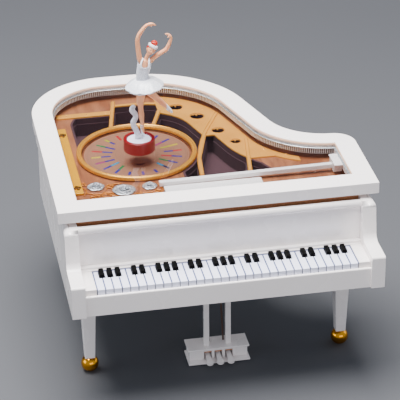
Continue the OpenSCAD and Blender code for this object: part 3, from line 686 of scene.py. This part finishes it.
def turn_table():
    """Disc with two engraved circles, two printed lines and the radial dashes."""
    low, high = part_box("turntable")
    centre = plan_middle(low, high)
    top, under = high.z + 0.00003, low.z
    profile = [(0, top)]
    for r in (12.0, 12.4, 27.9, 28.2):
        lift = -0.00008 if r in (12.4, 28.2) else 0
        profile.append((r * MM, top + lift))
        profile.append(((r + 0.12) * MM, top + lift))
    profile += [
        (28.8 * MM, top), (29.0 * MM, top - 0.00022), (29.9 * MM, top - 0.00022), (30.15 * MM, top - 0.00045),
        (30.18 * MM, under), (0, under),
    ]
    lathe("turntable_disc", centre, profile, DISC, "turntable", 180, ["turntable"])
    for i, (inner, outer, start) in enumerate(DASHES):
        turn = radians(DASH_STEP * i - 0.5)
        half_way = (start + DASH_END) / 2
        halves = ((start, half_way, inner), (half_way, DASH_END, outer))
        for part, (r0, r1, finish) in enumerate(halves):
            bm = bmesh.new()

            def point(u, v):
                r = (r0 + (r1 - r0) * u) * MM
                wide = 0.72 * MM * (1 + 0.06 * sin(9 * u + 3 * i)) * (2 * v - 1)
                return centre + Vector((
                    r * cos(turn) - wide * sin(turn), r * sin(turn) + wide * cos(turn),
                    top + 0.00004 - 0.00002 * (2 * v - 1) ** 2,
                ))

            grid(bm, point, 14, 4)
            dash = piece(f"dash_{i + 1}_{part + 1}", bm, INKS[finish], "turntable", 60)
            thicken(dash, 0.00003)
    for r, name in ((12.0, "inner"), (27.9, "outer")):
        ring = [
            ((r - 0.1) * MM, top), ((r - 0.1) * MM, top + 0.00003), ((r + 0.12) * MM, top + 0.00003),
            ((r + 0.12) * MM, top),
        ]
        lathe("line_" + name, centre, ring, INKS["grey"], "turntable", 160)


def ring_moulding():
    """Gold ring with a stepped and rolled section."""
    low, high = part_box("ring_bezel")
    centre = plan_middle(low, high)
    out = (high.x - low.x) / 2
    profile = [
        (-2.8, 0), (-2.8, 0.95), (-2.72, 1.45), (-2.45, 1.75), (-2.1, 1.8), (-1.85, 1.6), (-1.7, 1.62),
        (-1.5, 1.95),
        (-1.15, 2.18), (-0.8, 2.2), (-0.4, 2.05), (-0.1, 1.7), (0, 1.25), (-0.1, 0.95), (-0.02, 0.75),
        (0, 0.4), (0, 0),
    ]
    loop = [(out + r * MM, low.z + z * MM) for r, z in profile]
    lathe("ring_moulding", centre, loop + loop[:1], RING, "case", 200, ["ring_bezel"])


# ---- plate ornaments, roses and vines ----

DECK_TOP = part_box("soundboard")[1].z / MM
PLATE_T = 0.8
PLATE_TOP = DECK_TOP + PLATE_T
PLATE_HOLES = ((-0.8, 133.8, 3.9), (9.3, 119.3, 4.0), (17.8, 98.5, 3.6), (24.9, 82.5, 2.9))
ROSES = ((-61.5, 43.5, 4.8), (-46.8, 37.0, 6.4), (-32.2, 38.6, 4.2))


def hole_frets():
    """Raised scalloped rim and a three-lobed fret at the back of each round hole."""
    for i, (x, y, r) in enumerate(PLATE_HOLES):
        bm = bmesh.new()
        rim = [
            [*at(
                x + (r + 0.45 + 0.14 * cos(12 * a)) * cos(a),
                y + (r + 0.45 + 0.14 * cos(12 * a)) * sin(a), PLATE_TOP + 0.02,
            ), 0.22 * MM]
            for a in full_turn(97)
        ]
        tube(bm, rim, 8, steps=1)
        for turn, reach, thick in ((58, 0.72, 0.2), (90, 0.66, 0.26), (122, 0.72, 0.2)):
            lobe = []
            for t in full_turn(19):
                a = radians(turn) + 0.22 * sin(t)
                d = r * (reach + 0.2 + 0.2 * cos(t))
                lobe.append([*at(x + d * cos(a), y + d * sin(a), PLATE_TOP - 0.35), thick * MM])
            tube(bm, lobe, 8, steps=1)
        boss = [[*at(x, y + r * 0.5, PLATE_TOP - 0.6 + 0.3 * k), (0.55 - 0.12 * k) * MM] for k in range(3)]
        tube(bm, boss, 12, steps=3)
        piece(f"hole_fret_{i + 1}", bm, PLATE, "case", 60)


def rivets():
    """Small domed rivets along the tail bar and the border of the plate."""
    bm = bmesh.new()
    spots = [(-66, 134.1), (-54, 134.1), (-43, 134.1), (14, 128), (38.5, 84), (38.5, 70), (49.5, 60)]
    dome = ((-0.2, 0.8), (0.05, 0.75), (0.25, 0.5))
    for x, y in spots:
        tube(bm, [[*at(x, y, PLATE_TOP + z), r * MM] for z, r in dome], 16, steps=3)
    piece("plate_rivets", bm, PLATE, "case", 60)


PLATE_RIBS = (
    ((-43.5, 110), (-36.4, 148)), ((-19.5, 108), (-11.5, 131)),
    ((-2.2, 40), (0.6, 66), (8.6, 94), (21.6, 122)),
    ((25, 40), (31.4, 84)),
)


def rib_beads():
    """Two fine raised lines along each rib of the plate."""
    bm = bmesh.new()
    for rib in PLATE_RIBS:
        for s in (-0.86, 0.86):
            rows = []
            for i, (x, y) in enumerate(rib):
                x0, y0 = rib[max(i - 1, 0)]
                x1, y1 = rib[min(i + 1, len(rib) - 1)]
                span = hypot(x1 - x0, y1 - y0)
                across, down = s * (y1 - y0) / span, s * (x1 - x0) / span
                rows.append([*at(x + across, y - down, PLATE_TOP + 0.06), 0.26 * MM])
            tube(bm, rows, 8, steps=6)
    piece("rib_beads", bm, RING, "case", 60)


KEY_COUNT = 32
KEY_GAP = 0.4
# how far a black key covers the gap under it, from the back
BLACK_KEY_REACH = 9.1


def key_lines():
    """Dark blue filler in the gaps between the white keys as painted shade, and a blue strip behind them as
    painted shadow.
    """
    low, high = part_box("white_keys")
    top = high.z
    pitch = (high.x - low.x + KEY_GAP * MM) / KEY_COUNT
    bm = bmesh.new()
    for i in range(KEY_COUNT + 1):
        x = low.x - KEY_GAP / 2 * MM + pitch * i
        black = 0 < i < KEY_COUNT and (i - 1) % 7 in (0, 1, 2, 4, 5)
        back = high.y - (BLACK_KEY_REACH if black else 0.1) * MM
        half = 0.36 * MM
        tops = [
            bm.verts.new((x + dx, y, top + dz * MM))
            for y in (low.y + 0.15 * MM, back) for dx, dz in ((-half, 0.005), (0, 0.05), (half, 0.005))
        ]
        roots = [bm.verts.new((v.co.x, v.co.y, top - 0.3 * MM)) for v in tops]
        for a, b in ((0, 1), (1, 2)):
            bm.faces.new((tops[a], tops[b], tops[b + 3], tops[a + 3]))
            bm.faces.new((roots[b], roots[a], roots[a + 3], roots[b + 3]))
        for ring in ((0, 3), (5, 2)):
            bm.faces.new((tops[ring[0]], tops[ring[1]], roots[ring[1]], roots[ring[0]]))
        for e in (0, 3):
            bm.faces.new((tops[e], roots[e], roots[e + 1], tops[e + 1]))
            bm.faces.new((tops[e + 1], roots[e + 1], roots[e + 2], tops[e + 2]))
    # painted shadow along the back edge of the white keys
    shadow_strip_y = high.y - 0.85 * MM

    def band(u, v):
        y = shadow_strip_y + (0.8 * v) * MM
        return Vector((low.x + (high.x - low.x) * u, y, top + (0.02 + 0.05 * sin(pi * v)) * MM))

    grid(bm, band, 64, 4)
    bmesh.ops.recalc_face_normals(bm, faces=bm.faces)
    piece("key_lines", bm, KEY_SHADE_BLUE, "case", 40)


PEDAL_X = (-5.4, 0.6, 6.6)


def pedal_felts():
    """Brown felt above each pedal in its slot."""
    bm = bmesh.new()
    for x in PEDAL_X:
        rows = [[*at(x + dx, 12.5, 6.2), 0.42 * MM] for dx in (-1.7, 0, 1.7)]
        tube(bm, rows, 12, lambda a, row: (cos(a) * 0.9, sin(a) * 0.9), 6)
    piece("pedal_felts", bm, FELT, "case", 60)


def petal(bm, x, y, r, turn, row):
    """One cupped petal that leans out and curls at its lip."""
    start, end = r * (0.1 + 0.02 * row), r * (1.0 - 0.27 * row)
    spread = radians(46 - 3 * row)
    rise = 0.9 + 0.62 * row

    def point(u, v):
        s = 2 * u - 1
        a = turn + s * spread * (0.55 + 0.45 * v)
        d = start + (end - start) * v * (1 - 0.16 * s * s)
        z = 0.15 + rise * v**0.7 + 0.35 * s * s * v - 0.55 * max(0, v - 0.75) * 4 * (1 - 0.25 * row)
        z += 0.07 * sin(6 * s + 4 * turn) * v
        return at(x + d * cos(a), y + d * sin(a), DECK_TOP + max(z, 0.05))

    grid(bm, point, 14, 12)


def make_roses():
    """Three roses of fifteen petals round a wound heart."""
    for i, (x, y, r) in enumerate(ROSES):
        bm = bmesh.new()
        for row, count in enumerate((6, 5, 4)):
            for k in range(count):
                petal(bm, x, y, r, 2 * pi * (k / count + 0.13 * row) + i, row)
        rose = piece(f"rose_{i + 1}", bm, SILVER, "case", 180, ["roses"] if i == 0 else ())
        thicken(rose, 0.28 * MM, 0)
        heart = bmesh.new()
        swirl = [
            [*at(
                x + r * 0.26 * (1 - t) * cos(9 * t), y + r * 0.26 * (1 - t) * sin(9 * t),
                DECK_TOP + 1.6 + 0.9 * t,
            ), (0.34 - 0.1 * t) * MM * r / 5]
            for t in np.linspace(0, 0.95, 26)
        ]
        tube(heart, swirl, 10, steps=2)
        piece(f"rose_heart_{i + 1}", heart, SILVER, "case", 60)


VINES = (
    ((-68, 38), (-64, 35.4), (-59, 34.8), (-54, 33), (-50.5, 29.2)),
    ((-44, 29.4), (-40, 31.5), (-36, 31.4), (-31.5, 31.8)),
    ((-55, 27), (-48, 25.6), (-41, 25.8), (-34, 26.6), (-27, 27.6)),
    ((-27.2, 30.2), (-25.6, 33), (-26.4, 37), (-27.4, 40.2)),
    ((-56.4, 39.6), (-54.4, 42.4), (-51.4, 44.6), (-47.4, 45.2)),
    ((-69.5, 45), (-67.6, 41.6), (-67.2, 38.4), (-69, 35)),
)
CURLS = (
    (-56.5, 32.6, 3.9, 0.4), (-37.4, 29.6, 3.7, 2.4), (-28.9, 31.6, 2.7, 4.2), (-53.4, 42.6, 2.3, 1.4),
    (-63, 31.8, 2.8, 3.2), (-46, 24.2, 2.4, 0.2), (-31, 25.2, 2.2, 5.2), (-68, 48, 2.1, 2.0),
)


def make_vines():
    """Vines, and curls with three leaves each, in one piece."""
    bm = bmesh.new()
    for k, vine in enumerate(VINES):
        heights = [DECK_TOP + 0.3 + 0.12 * sin(2 * i + k) for i in range(len(vine))]
        rows = [[*at(x, y, z), 0.42 * MM] for (x, y), z in zip(vine, heights)]
        tube(bm, rows, 10, steps=8)
    for x, y, r, turn in CURLS:
        rows = []
        for t in np.linspace(0, 1, 22):
            a, d = turn + 8.2 * t, r * (1 - 0.82 * t)
            place = at(x + d * cos(a), y + d * sin(a), DECK_TOP + 0.32 + 0.3 * t)
            rows.append([*place, (0.5 - 0.14 * t) * MM])
        tube(bm, rows, 10, steps=2)
        for k in range(3):
            a = turn + 1.2 + 2.1 * k
            leaf = [
                [*at(x + d * cos(a + 0.25 * d / r), y + d * sin(a + 0.25 * d / r), DECK_TOP + 0.3), w * MM]
                for d, w in ((0.55 * r, 0.25), (0.8 * r, 0.55), (1.05 * r, 0.5), (1.3 * r, 0.16))
            ]
            tube(bm, leaf, 10, lambda a, row: (cos(a), 0.6 * sin(a)), 4)
    piece("vines", bm, VINE, "case", 60, ["filigree"])


RAIL_SCREW_Y = (42.0, 108.0)


def rail_marks():
    """Two clusters of four small dark domes beside each of the rail's screws."""
    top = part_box("bass_rail")[1].z / MM
    bm = bmesh.new()
    for y in RAIL_SCREW_Y:
        for x, r in ((-71.8, 2.3), (-75.0, 0.9)):
            centre = at(x, y, top)
            for k in range(4):
                a = k * pi / 2 + 0.3
                p = centre + Vector((cos(a), sin(a), 0)) * r * 0.62 * MM
                dome = ((-0.1, 0.42 * r), (0.08, 0.36 * r))
                tube(bm, [[p.x, p.y, p.z + dz * MM, w * MM] for dz, w in dome], 12, steps=2)
    piece("rail_washers", bm, SCREW, "case", 60)


trim_window()
turn_table()
ring_moulding()
hole_frets()
rivets()
rib_beads()
key_lines()
pedal_felts()
make_roses()
make_vines()
rail_marks()


# ---- dancer ----

disc_low, disc_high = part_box("dancer_disc")
FIGURE = plan_middle(disc_low, disc_high, disc_high.z)
FIGURE_LEAN = Matrix.Rotation(radians(1.15), 3, "Y")


def fig(x, y, z, r=None):
    """Figure coordinates in millimetres from the middle of the disc's top, as metres."""
    p = FIGURE + FIGURE_LEAN @ Vector((x, y, z)) * MM
    return p if r is None else [*p, r * MM]


HEAD_TURN = Matrix.Rotation(radians(31), 3, "Y")
HEAD = fig(6.6, -0.3, 54.1)


def on_head(x, y, z):
    """A point in millimetres in the tilted head's own frame; the face looks along -Y."""
    return HEAD + HEAD_TURN @ Vector((x, y, z)) * MM


def face_radius(d):
    """Distance in millimetres from the head's centre to the skin, along the unit direction d."""
    x, y, z = d
    front = max(0.0, -y)
    base = 1 / sqrt((x / 2.35) ** 2 + (y / 2.75) ** 2 + (z / 3.3) ** 2)
    jaw = 1 - 0.16 * max(0, -z) ** 1.5 * (1 - 0.7 * front) - 0.1 * abs(x) * max(0, -z)

    def lump(cx, cz, wx, wz, h):
        return h * exp(-(((x - cx) / wx) ** 2) - (((z - cz) / wz) ** 2)) * (front > 0.3)

    out = base * jaw
    out += lump(0, -0.08, 0.075, 0.14, 0.3) + lump(0, -0.17, 0.11, 0.06, 0.22)
    out += lump(0, -0.42, 0.17, 0.035, 0.1) + lump(0, -0.5, 0.14, 0.04, 0.12)
    out += lump(0, -0.76, 0.2, 0.14, 0.22) - lump(0, -0.6, 0.2, 0.04, 0.06)
    for s in (-1, 1):
        out -= lump(0.34 * s, 0.1, 0.16, 0.09, 0.17)
        out += lump(0.34 * s, 0.08, 0.1, 0.045, 0.1)
        out += lump(0.33 * s, 0.26, 0.2, 0.06, 0.06)
        out += lump(0.42 * s, -0.28, 0.2, 0.18, 0.1)
    return out


def make_head():
    """Head and ears."""
    bm = bmesh.new()
    bmesh.ops.create_icosphere(bm, subdivisions=6, radius=1)
    for v in bm.verts:
        d = v.co.normalized()
        v.co = on_head(*(d * face_radius(d)))
    piece("dancer_head", bm, SKIN, "dancer", 180)
    for s in (-1, 1):
        ear = bmesh.new()
        bmesh.ops.create_uvsphere(ear, u_segments=16, v_segments=12, radius=1)
        for v in ear.verts:
            x, y, z = v.co
            out = 2.25 + 0.22 * x - 0.08 * (y * y + z * z < 0.5)
            v.co = on_head(s * out, 0.1 + 0.42 * y, -0.1 + 0.62 * z)
        piece(f"dancer_ear_{'l' if s < 0 else 'r'}", ear, SKIN, "dancer", 180)


def face_patch(name, cx, cz, shape, finish, lift=0.03):
    """Thin painted patch that follows the face: shape(t, f) gives x, z as shares of the head's size."""
    bm = bmesh.new()

    def point(u, v):
        x, z = shape(2 * pi * u, v)
        x, z = cx + x, cz + z
        d = Vector((x, -sqrt(max(0.05, 1 - x * x - z * z)), z)).normalized()
        return on_head(*(d * (face_radius(d) + lift)))

    grid(bm, point, 20, 4, True)
    bmesh.ops.remove_doubles(bm, verts=bm.verts, dist=1e-7)
    thicken(piece(name, bm, finish, "dancer", 180), 0.03 * MM, 0)


def make_face():
    """Eyes, lashes, brows and lips as thin painted patches."""
    for s, tag in ((-1, "l"), (1, "r")):
        face_patch(
            "dancer_eye_" + tag, 0.34 * s, 0.07,
            lambda t, f: (0.115 * f * cos(t), 0.045 * f * sin(t) + 0.012 * f * cos(t) ** 2), EYE_WHITE,
        )
        face_patch(
            "dancer_iris_" + tag, 0.33 * s, 0.075,
            lambda t, f: (0.042 * f * cos(t), 0.042 * f * sin(t)), EYE_DARK, 0.06,
        )
        face_patch(
            "dancer_lash_" + tag, 0.34 * s, 0.115,
            lambda t, f: (0.13 * f * cos(t), 0.016 * f * sin(t) - 0.03 * f * f * cos(t) ** 2), EYE_DARK, 0.06,
        )
        face_patch(
            "dancer_brow_" + tag, 0.34 * s, 0.26,
            lambda t, f: (0.14 * f * cos(t), 0.016 * f * sin(t) - 0.04 * f * f * cos(t) ** 2), BROW, 0.04,
        )
    face_patch(
        "dancer_lips", 0, -0.455,
        lambda t, f: (0.15 * f * cos(t), 0.05 * f * sin(t) * (1 - 0.5 * cos(t) ** 2)), LIPS, 0.03,
    )


def make_hair():
    """Combed cap, puffed white band and a wound bun."""
    bm = bmesh.new()
    bmesh.ops.create_icosphere(bm, subdivisions=6, radius=1)
    line = Vector((0, 0.62, 0.78)).normalized()
    for v in bm.verts:
        d = v.co.normalized()
        over = d.dot(line)
        lift = 0.34 * min(1, max(0, (over - 0.08) * 6))
        comb = 0.05 * sin(34 * atan2(d.x, d.z + 0.4)) * (lift > 0.3)
        v.co = on_head(*(d * (face_radius(d) - 0.25 * (lift == 0) + lift + comb)))
    bare = [f for f in bm.faces if HEAD_TURN.inverted() @ (f.calc_center_median() - HEAD) @ line < 0.0002]
    bmesh.ops.delete(bm, geom=bare, context="FACES")
    thicken(piece("dancer_hair_cap", bm, HAIR, "dancer", 180, ["dancer_hair"]), 0.2 * MM)
    bun = bmesh.new()

    def bun_point(u, v):
        a, b = 2 * pi * u, pi * v
        wound = 1 + 0.07 * sin(5 * a + 9 * b)
        r = 1.75 * wound
        return on_head(r * sin(b) * cos(a), 0.5 + r * sin(b) * sin(a), 4.1 + 0.9 * r * cos(b))

    grid(bun, bun_point, 64, 32, True)
    bmesh.ops.remove_doubles(bun, verts=bun.verts, dist=1e-7)
    piece("dancer_bun", bun, HAIR, "dancer", 180)
    band = bmesh.new()

    def band_point(u, v):
        a, b = 2 * pi * u, 2 * pi * v
        puff = 0.7 + 0.07 * sin(14 * a)
        r = 2.2 + puff * cos(b) * 0.8
        tilt = Matrix.Rotation(radians(-8), 3, "X")
        p = tilt @ Vector((r * cos(a), 0.1 + 1.1 * r * sin(a), 1.3 * puff * sin(b)))
        return on_head(p.x, p.y, p.z + 2.5)

    grid(band, band_point, 112, 14, True)
    bmesh.ops.remove_doubles(band, verts=band.verts, dist=1e-7)
    piece("dancer_hairband", band, DRESS, "dancer", 180)


LEG_DOWN = [
    (2.6, 2.5, 0.7, 0.6), (2.45, 2.3, 3.2, 0.95), (2.2, 2.1, 5.6, 1.0), (2.1, 2, 8.6, 1.02),
    (1.8, 1.7, 11.6, 1.35),
    (1.55, 1.6, 14.4, 1.6), (1.2, 1.2, 17.6, 1.45), (1.0, 0.8, 20, 1.6), (0.8, 0.4, 24, 2.2),
    (1.3, 0, 29, 2.5),
]
LEG_UP = [
    (4.2, 0.4, 30.3, 2.5), (7.0, 2.6, 26.8, 2.35), (9.6, 4.8, 23.4, 1.9), (11.4, 6.0, 21.2, 1.6),
    (13.2, 7.4, 19.0, 1.7),
    (15.6, 9.0, 16.0, 1.4), (17.7, 10.4, 13.1, 1.0), (18.8, 11.1, 11.7, 1.05), (20.0, 11.7, 10.2, 0.78),
    (20.7, 12.1, 9.2, 0.5),
]
TORSO = [
    (2.5, 0, 30.5, 2.9), (2.0, 0, 34, 2.9), (1.9, 0, 37.2, 2.45), (2.3, 0, 41, 2.6), (3.0, 0, 44.6, 2.8),
    (3.6, 0, 47.0, 2.3),
]
NECK = [(3.4, 0, 46.4, 1.7), (4.0, 0, 48.6, 1.15), (4.9, -0.1, 50.9, 1.05), (5.7, -0.1, 52.6, 1.15)]
ARM_LEFT = [
    (2.0, 0, 46.7, 1.4), (0.7, 0, 48.4, 1.5), (0.1, -0.2, 51.4, 1.42), (-0.4, -0.4, 55.4, 1.38),
    (-0.8, -0.7, 59.6, 1.26), (-0.2, -0.9, 62.9, 1.22),
    (1.5, -1.1, 66.0, 1.1), (3.6, -1.2, 68.6, 0.9), (5.2, -1.2, 69.6, 0.82), (6.8, -1.3, 69.8, 0.84),
    (8.0, -1.4, 69.4, 0.62), (9.2, -1.4, 68.9, 0.3),
]
ARM_RIGHT = [
    (4.8, 0, 46.2, 1.35), (6.4, 0, 47.3, 1.45), (8.4, -0.2, 49.2, 1.25), (10.8, -0.4, 51.1, 1.28),
    (13.4, -0.6, 52.7, 1.2), (15.2, -0.8, 54.1, 1.18),
    (16.6, -0.9, 56.8, 1.12), (17.5, -1.1, 59.6, 0.92), (17.5, -1.2, 61.2, 0.84), (16.7, -1.2, 62.4, 0.8),
    (15.6, -1.2, 63.1, 0.6), (14.4, -1.2, 63.4, 0.3),
]


def flat_hand(angle, row):
    """Section of an arm: round, and flatter where the row is thin, at the hand."""
    flat = 1.0 if row[3] > 0.75 * MM else 0.75
    return flat * cos(angle), sin(angle) * (1.15 if flat < 1 else 1.0)


def torso_section(angle, row):
    return 0.86 * cos(angle), 1.08 * sin(angle)


def limb(bm, rows, *how):
    """Closed tube along rows of x, y, z and radius in figure millimetres."""
    tube(bm, [fig(*r) for r in rows], *how)


def make_body():
    """Legs, torso, neck and arms in one skin."""
    bm = bmesh.new()
    for rows in (LEG_DOWN, LEG_UP, NECK):
        limb(bm, rows)
    limb(bm, TORSO, 28, torso_section)
    for rows in (ARM_LEFT, ARM_RIGHT):
        limb(bm, rows, 20, flat_hand)
    for hand, way in ((fig(5.9, -1.7, 69.2), (1, -0.5, -0.6)), (fig(16.6, -1.7, 62.0), (-0.7, -0.5, -0.2))):
        thumb = Vector(way).normalized() * 1.4 * MM
        tube(bm, [[*(hand + thumb * t), r * MM] for t, r in ((0, 0.34), (0.5, 0.3), (1, 0.2))], 10)
    body = fuse("dancer_figure", bm, 0.22 * MM, SKIN, "dancer", 3, ["dancer_body"])


SHOE_DOWN = [(2.62, 2.5, 0.75, 0.66), (2.42, 2.35, 2.9, 0.95), (2.15, 2.2, 4.9, 1.0), (2.05, 2.1, 5.9, 0.9)]
SHOE_UP = [
    (16.4, 9.5, 15.2, 1.25), (17.6, 10.4, 13.4, 1.18), (18.7, 11.2, 11.9, 1.2), (19.9, 11.8, 10.3, 0.95),
    (20.75, 12.3, 9.1, 0.6),
]


def make_shoes():
    """Closed shoes, with crossed ribbon turns at the standing ankle."""
    bm = bmesh.new()
    for rows in (SHOE_DOWN, SHOE_UP):
        limb(bm, rows)
    for z in (6.6, 7.6):
        for lean in (-0.35, 0.35):
            ring = [
                fig(1.95 + 0.98 * cos(a), 2.02 + 0.98 * sin(a), z + lean * cos(a), 0.16)
                for a in full_turn(17)
            ]
            tube(bm, ring, 8, steps=2)
    fuse("dancer_shoes", bm, 0.16 * MM, DRESS, "dancer", 2)


# the bodice's middle line: x, height and radius
BODICE_ROWS = [(2.2, 35.6, 3.05), (1.9, 37.2, 2.85), (2.2, 40.6, 3.05), (2.9, 44.0, 3.35), (3.1, 46.6, 3.3)]


def make_bodice():
    """Close bodice with a V neck, edged straps and a laced front."""
    bm = bmesh.new()
    rows = catmull(BODICE_ROWS, 6)

    def point(u, v):
        a = 2 * pi * u
        front = max(0.0, -sin(a))
        top = 1 - 0.2 * front**3 + 0.08 * abs(cos(a))
        k = min(v * top, 1) * (len(rows) - 1)
        i = min(int(k), len(rows) - 2)
        x, z, r = rows[i] * (1 - (k - i)) + rows[i + 1] * (k - i)
        bust = 0.28 * exp(-(((z - 44.2) / 1.3) ** 2))
        bust = bust * exp(-((abs(cos(a)) - 0.42) / 0.3) ** 2) * (front > 0.2)
        pleat = 0.06 * cos(16 * a) * exp(-((z - 37.5) / 3.5) ** 2)
        r += bust + pleat
        return fig(x + 1.12 * r * cos(a), 0.94 * r * sin(a), z)

    grid(bm, point, 128, 40, True)
    thicken(piece("dancer_bodice", bm, BODICE, "dancer", 180), 0.3 * MM, 0)
    straps = bmesh.new()
    for side, (x0, x1, x2) in ((-1, (0.9, 1.6, 2.4)), (1, (5.2, 5.6, 5.6))):
        tube(straps, [
            fig(x0, -3.0, 44.9, 0.62), fig(x0 + 0.1 * side, -2.6, 46.8, 0.58), fig(x1, -1.5, 48.5, 0.55),
            fig(x2, 0.2, 48.9, 0.5), fig(x1, 1.8, 47.9, 0.5), fig(x0, 2.9, 45.6, 0.5),
        ], 10)
    fuse("dancer_straps", straps, 0.16 * MM, DRESS, "dancer", 2)
    edge = bmesh.new()
    waist = [
        fig(2.0 + 3.32 * cos(a), 2.8 * sin(a), 36.7 + 0.3 * cos(a), 0.26) for a in full_turn(33)
    ]
    tube(edge, waist, 8, steps=2)
    for i in range(5):
        x, z = 2.5 + 0.12 * i, 38.6 + 1.35 * i
        for s in (-1, 1):
            lace = [fig(x - 0.55 * s, -3.15, z, 0.1), fig(x + 0.55 * s, -3.2, z + 1.1, 0.1)]
            tube(edge, lace, 6, steps=2)
    fuse("dancer_trim", edge, 0.13 * MM, DRESS, "dancer", 1)


# for each layer from the top: reach, drop, how many folds and how high they stand
SKIRT_LAYERS = ((1.0, 0.0, 9, 0.3), (0.97, 0.5, 11, 0.26), (0.9, 1.0, 13, 0.22))


def make_skirt():
    """Three rippled layers that spread from the waist and tilt up to the right."""
    turn = Matrix.Rotation(radians(-5.5), 3, "Y")
    for layer, (reach, drop, folds, wave) in enumerate(SKIRT_LAYERS):
        bm = bmesh.new()

        def point(u, v):
            a = 2 * pi * u
            r = 3.0 + (10.7 * reach - 3.0) * v
            r *= 1 + 0.02 * v * sin(3 * a + layer)
            z = -4.3 * v**1.9 - 0.35 * v - drop * v * 0.9
            z += wave * v**1.4 * sin(folds * a + 1.3 * layer + 0.8 * sin(2 * a))
            z += 0.1 * v * sin(2 * folds * a + 5 * v)
            p = turn @ Vector((r * cos(a), r * sin(a) * 0.97, z))
            return fig(2.7 + p.x, p.y, 37.0 + p.z)

        grid(bm, point, 360, 28, True)
        stands_for = ["dancer_dress"] if layer == 0 else ()
        skirt = piece(f"dancer_skirt_{layer + 1}", bm, DRESS, "dancer", 180, stands_for)
        thicken(skirt, 0.22 * MM, 0)


RIBBON_ROWS = [
    (0.1, 1.5, 0.4, 1.5), (-0.6, 1.5, 2.6, 1.3), (-1.6, 1.5, 5.2, 1.25), (-2.9, 1.5, 8.2, 1.3),
    (-2.9, 1.5, 10.2, 1.3), (-1.7, 1.5, 12.8, 1.25), (-1.9, 1.5, 14.8, 1.25), (-3.5, 1.5, 17.0, 1.3),
    (-3.5, 1.5, 18.6, 1.25), (-2.7, 1.5, 19.9, 1.0),
]
RIBBON_ROOTS = ((-2.2, 0.6), (-1.0, -0.4), (0.6, -0.6), (2.2, 0.0), (-1.8, 2.8), (1.4, 3.2))


def make_ribbon():
    """Wavy ribbed band that joins the figure to its disc, with spread roots."""
    bm = bmesh.new()

    def ribbed(angle, row):
        groove = 1 + 0.07 * cos(8 * angle)
        return 0.66 * groove * cos(angle), 1.2 * groove * sin(angle)

    limb(bm, RIBBON_ROWS, 48, ribbed, 8)
    for x, y in RIBBON_ROOTS:
        limb(bm, [
            (0.2 + 0.2 * x, 1.5 + 0.2 * (y - 1.5), 1.7, 0.6), (0.6 * x, 1.5 + 0.6 * (y - 1.5), 0.9, 0.5),
            (x, y, 0.3, 0.32),
        ], 12)
    ribbon = fuse("dancer_wave", bm, 0.16 * MM, RIBBON, "dancer", 1, ["dancer_ribbon"])


make_head()
make_face()
make_hair()
make_body()
make_shoes()
make_bodice()
make_skirt()
make_ribbon()


# ---- stage, light and camera ----


def stage_mesh():
    """Plain grey floor that sweeps up into a wall far behind."""
    bm = bmesh.new()
    profile = [(-3.0, 0.0), (2.2, 0.0)]
    profile += [(2.2 + 0.8 * sin(a), 0.8 - 0.8 * cos(a)) for a in np.linspace(0.1, pi / 2, 12)]
    profile.append((3.0, 3.0))
    rows = [[bm.verts.new((x, y, z)) for y, z in profile] for x in (-4, 4)]
    for i in range(len(profile) - 1):
        bm.faces.new((rows[0][i], rows[0][i + 1], rows[1][i + 1], rows[1][i]))
    mesh = bpy.data.meshes.new("floor")
    bm.to_mesh(mesh)
    bm.free()
    floor = bpy.data.objects.new("floor", mesh)
    bpy.context.scene.collection.objects.link(floor)
    for p in mesh.polygons:
        p.use_smooth = True
    f = Finish("floor_paper", rgb(73, 74, 78), 0.75)
    f.tint(rgb(69, 70, 74), f.range(f.noise(3, 3), 0.4, 0.7, 0, 0.4))
    mesh.materials.append(f.mat)


def area_light(name, place, target, size, power, colour, spread=180):
    """Rectangular soft light at a place, facing its target."""
    lamp = bpy.data.lights.new(name, "AREA")
    lamp.shape = "RECTANGLE"
    lamp.size, lamp.size_y = size
    lamp.spread = radians(spread)
    lamp.energy = power
    lamp.color = colour
    obj = bpy.data.objects.new(name, lamp)
    obj.location = place
    obj.rotation_mode = "QUATERNION"
    obj.rotation_quaternion = (Vector(place) - Vector(target)).to_track_quat("Z", "Y")
    bpy.context.scene.collection.objects.link(obj)


def light_stage():
    """Pale studio surround with one main light above and three weak ones."""
    world = bpy.data.worlds.new("studio")
    world.use_nodes = True
    back = world.node_tree.nodes["Background"]
    back.inputs[0].default_value = rgb(206, 216, 232)
    back.inputs[1].default_value = 0.8
    bpy.context.scene.world = world
    aim = (0, 0, 0.08)
    area_light("top", (-0.12, -0.02, 0.98), aim, (0.7, 0.7), 34, (1, 0.99, 0.98), 165)
    area_light("front", (0.3, -1.6, 0.45), aim, (1.4, 0.6), 4, (1, 0.93, 0.9))
    area_light("left", (-1.5, -0.2, 0.5), aim, (1.0, 0.7), 7, (0.86, 0.93, 1))
    area_light("right", (1.5, 0.1, 0.7), aim, (0.9, 0.9), 3, (0.95, 0.97, 1))


# camera's turns in radians, its place in lid millimetres and its lens in millimetres
CAMERA_YAW, CAMERA_PITCH, CAMERA_ROLL = 0.18003, 0.49377, -0.011393
CAMERA_PLACE = (-180.9, -932.4, 620.6)
CAMERA_LENS = 181.69


def place_camera():
    cam = bpy.data.cameras.new("camera")
    obj = bpy.data.objects.new("camera", cam)
    bpy.context.scene.collection.objects.link(obj)
    yaw, pitch, roll = CAMERA_YAW, CAMERA_PITCH, CAMERA_ROLL
    forward = Vector((sin(yaw) * cos(pitch), cos(yaw) * cos(pitch), -sin(pitch)))
    right = Vector((cos(yaw), -sin(yaw), 0))
    up = right.cross(forward)
    right, up = (
        right * cos(roll) + up * sin(roll),
        up * cos(roll) - right * sin(roll),
    )
    turn = Matrix((right, up, -forward)).transposed().to_4x4()
    obj.matrix_world = Matrix.Translation(at(*CAMERA_PLACE)) @ turn
    cam.lens = CAMERA_LENS
    cam.sensor_width = 36
    cam.clip_start, cam.clip_end = 0.05, 20
    bpy.context.scene.camera = obj


stage_mesh()
light_stage()
place_camera()
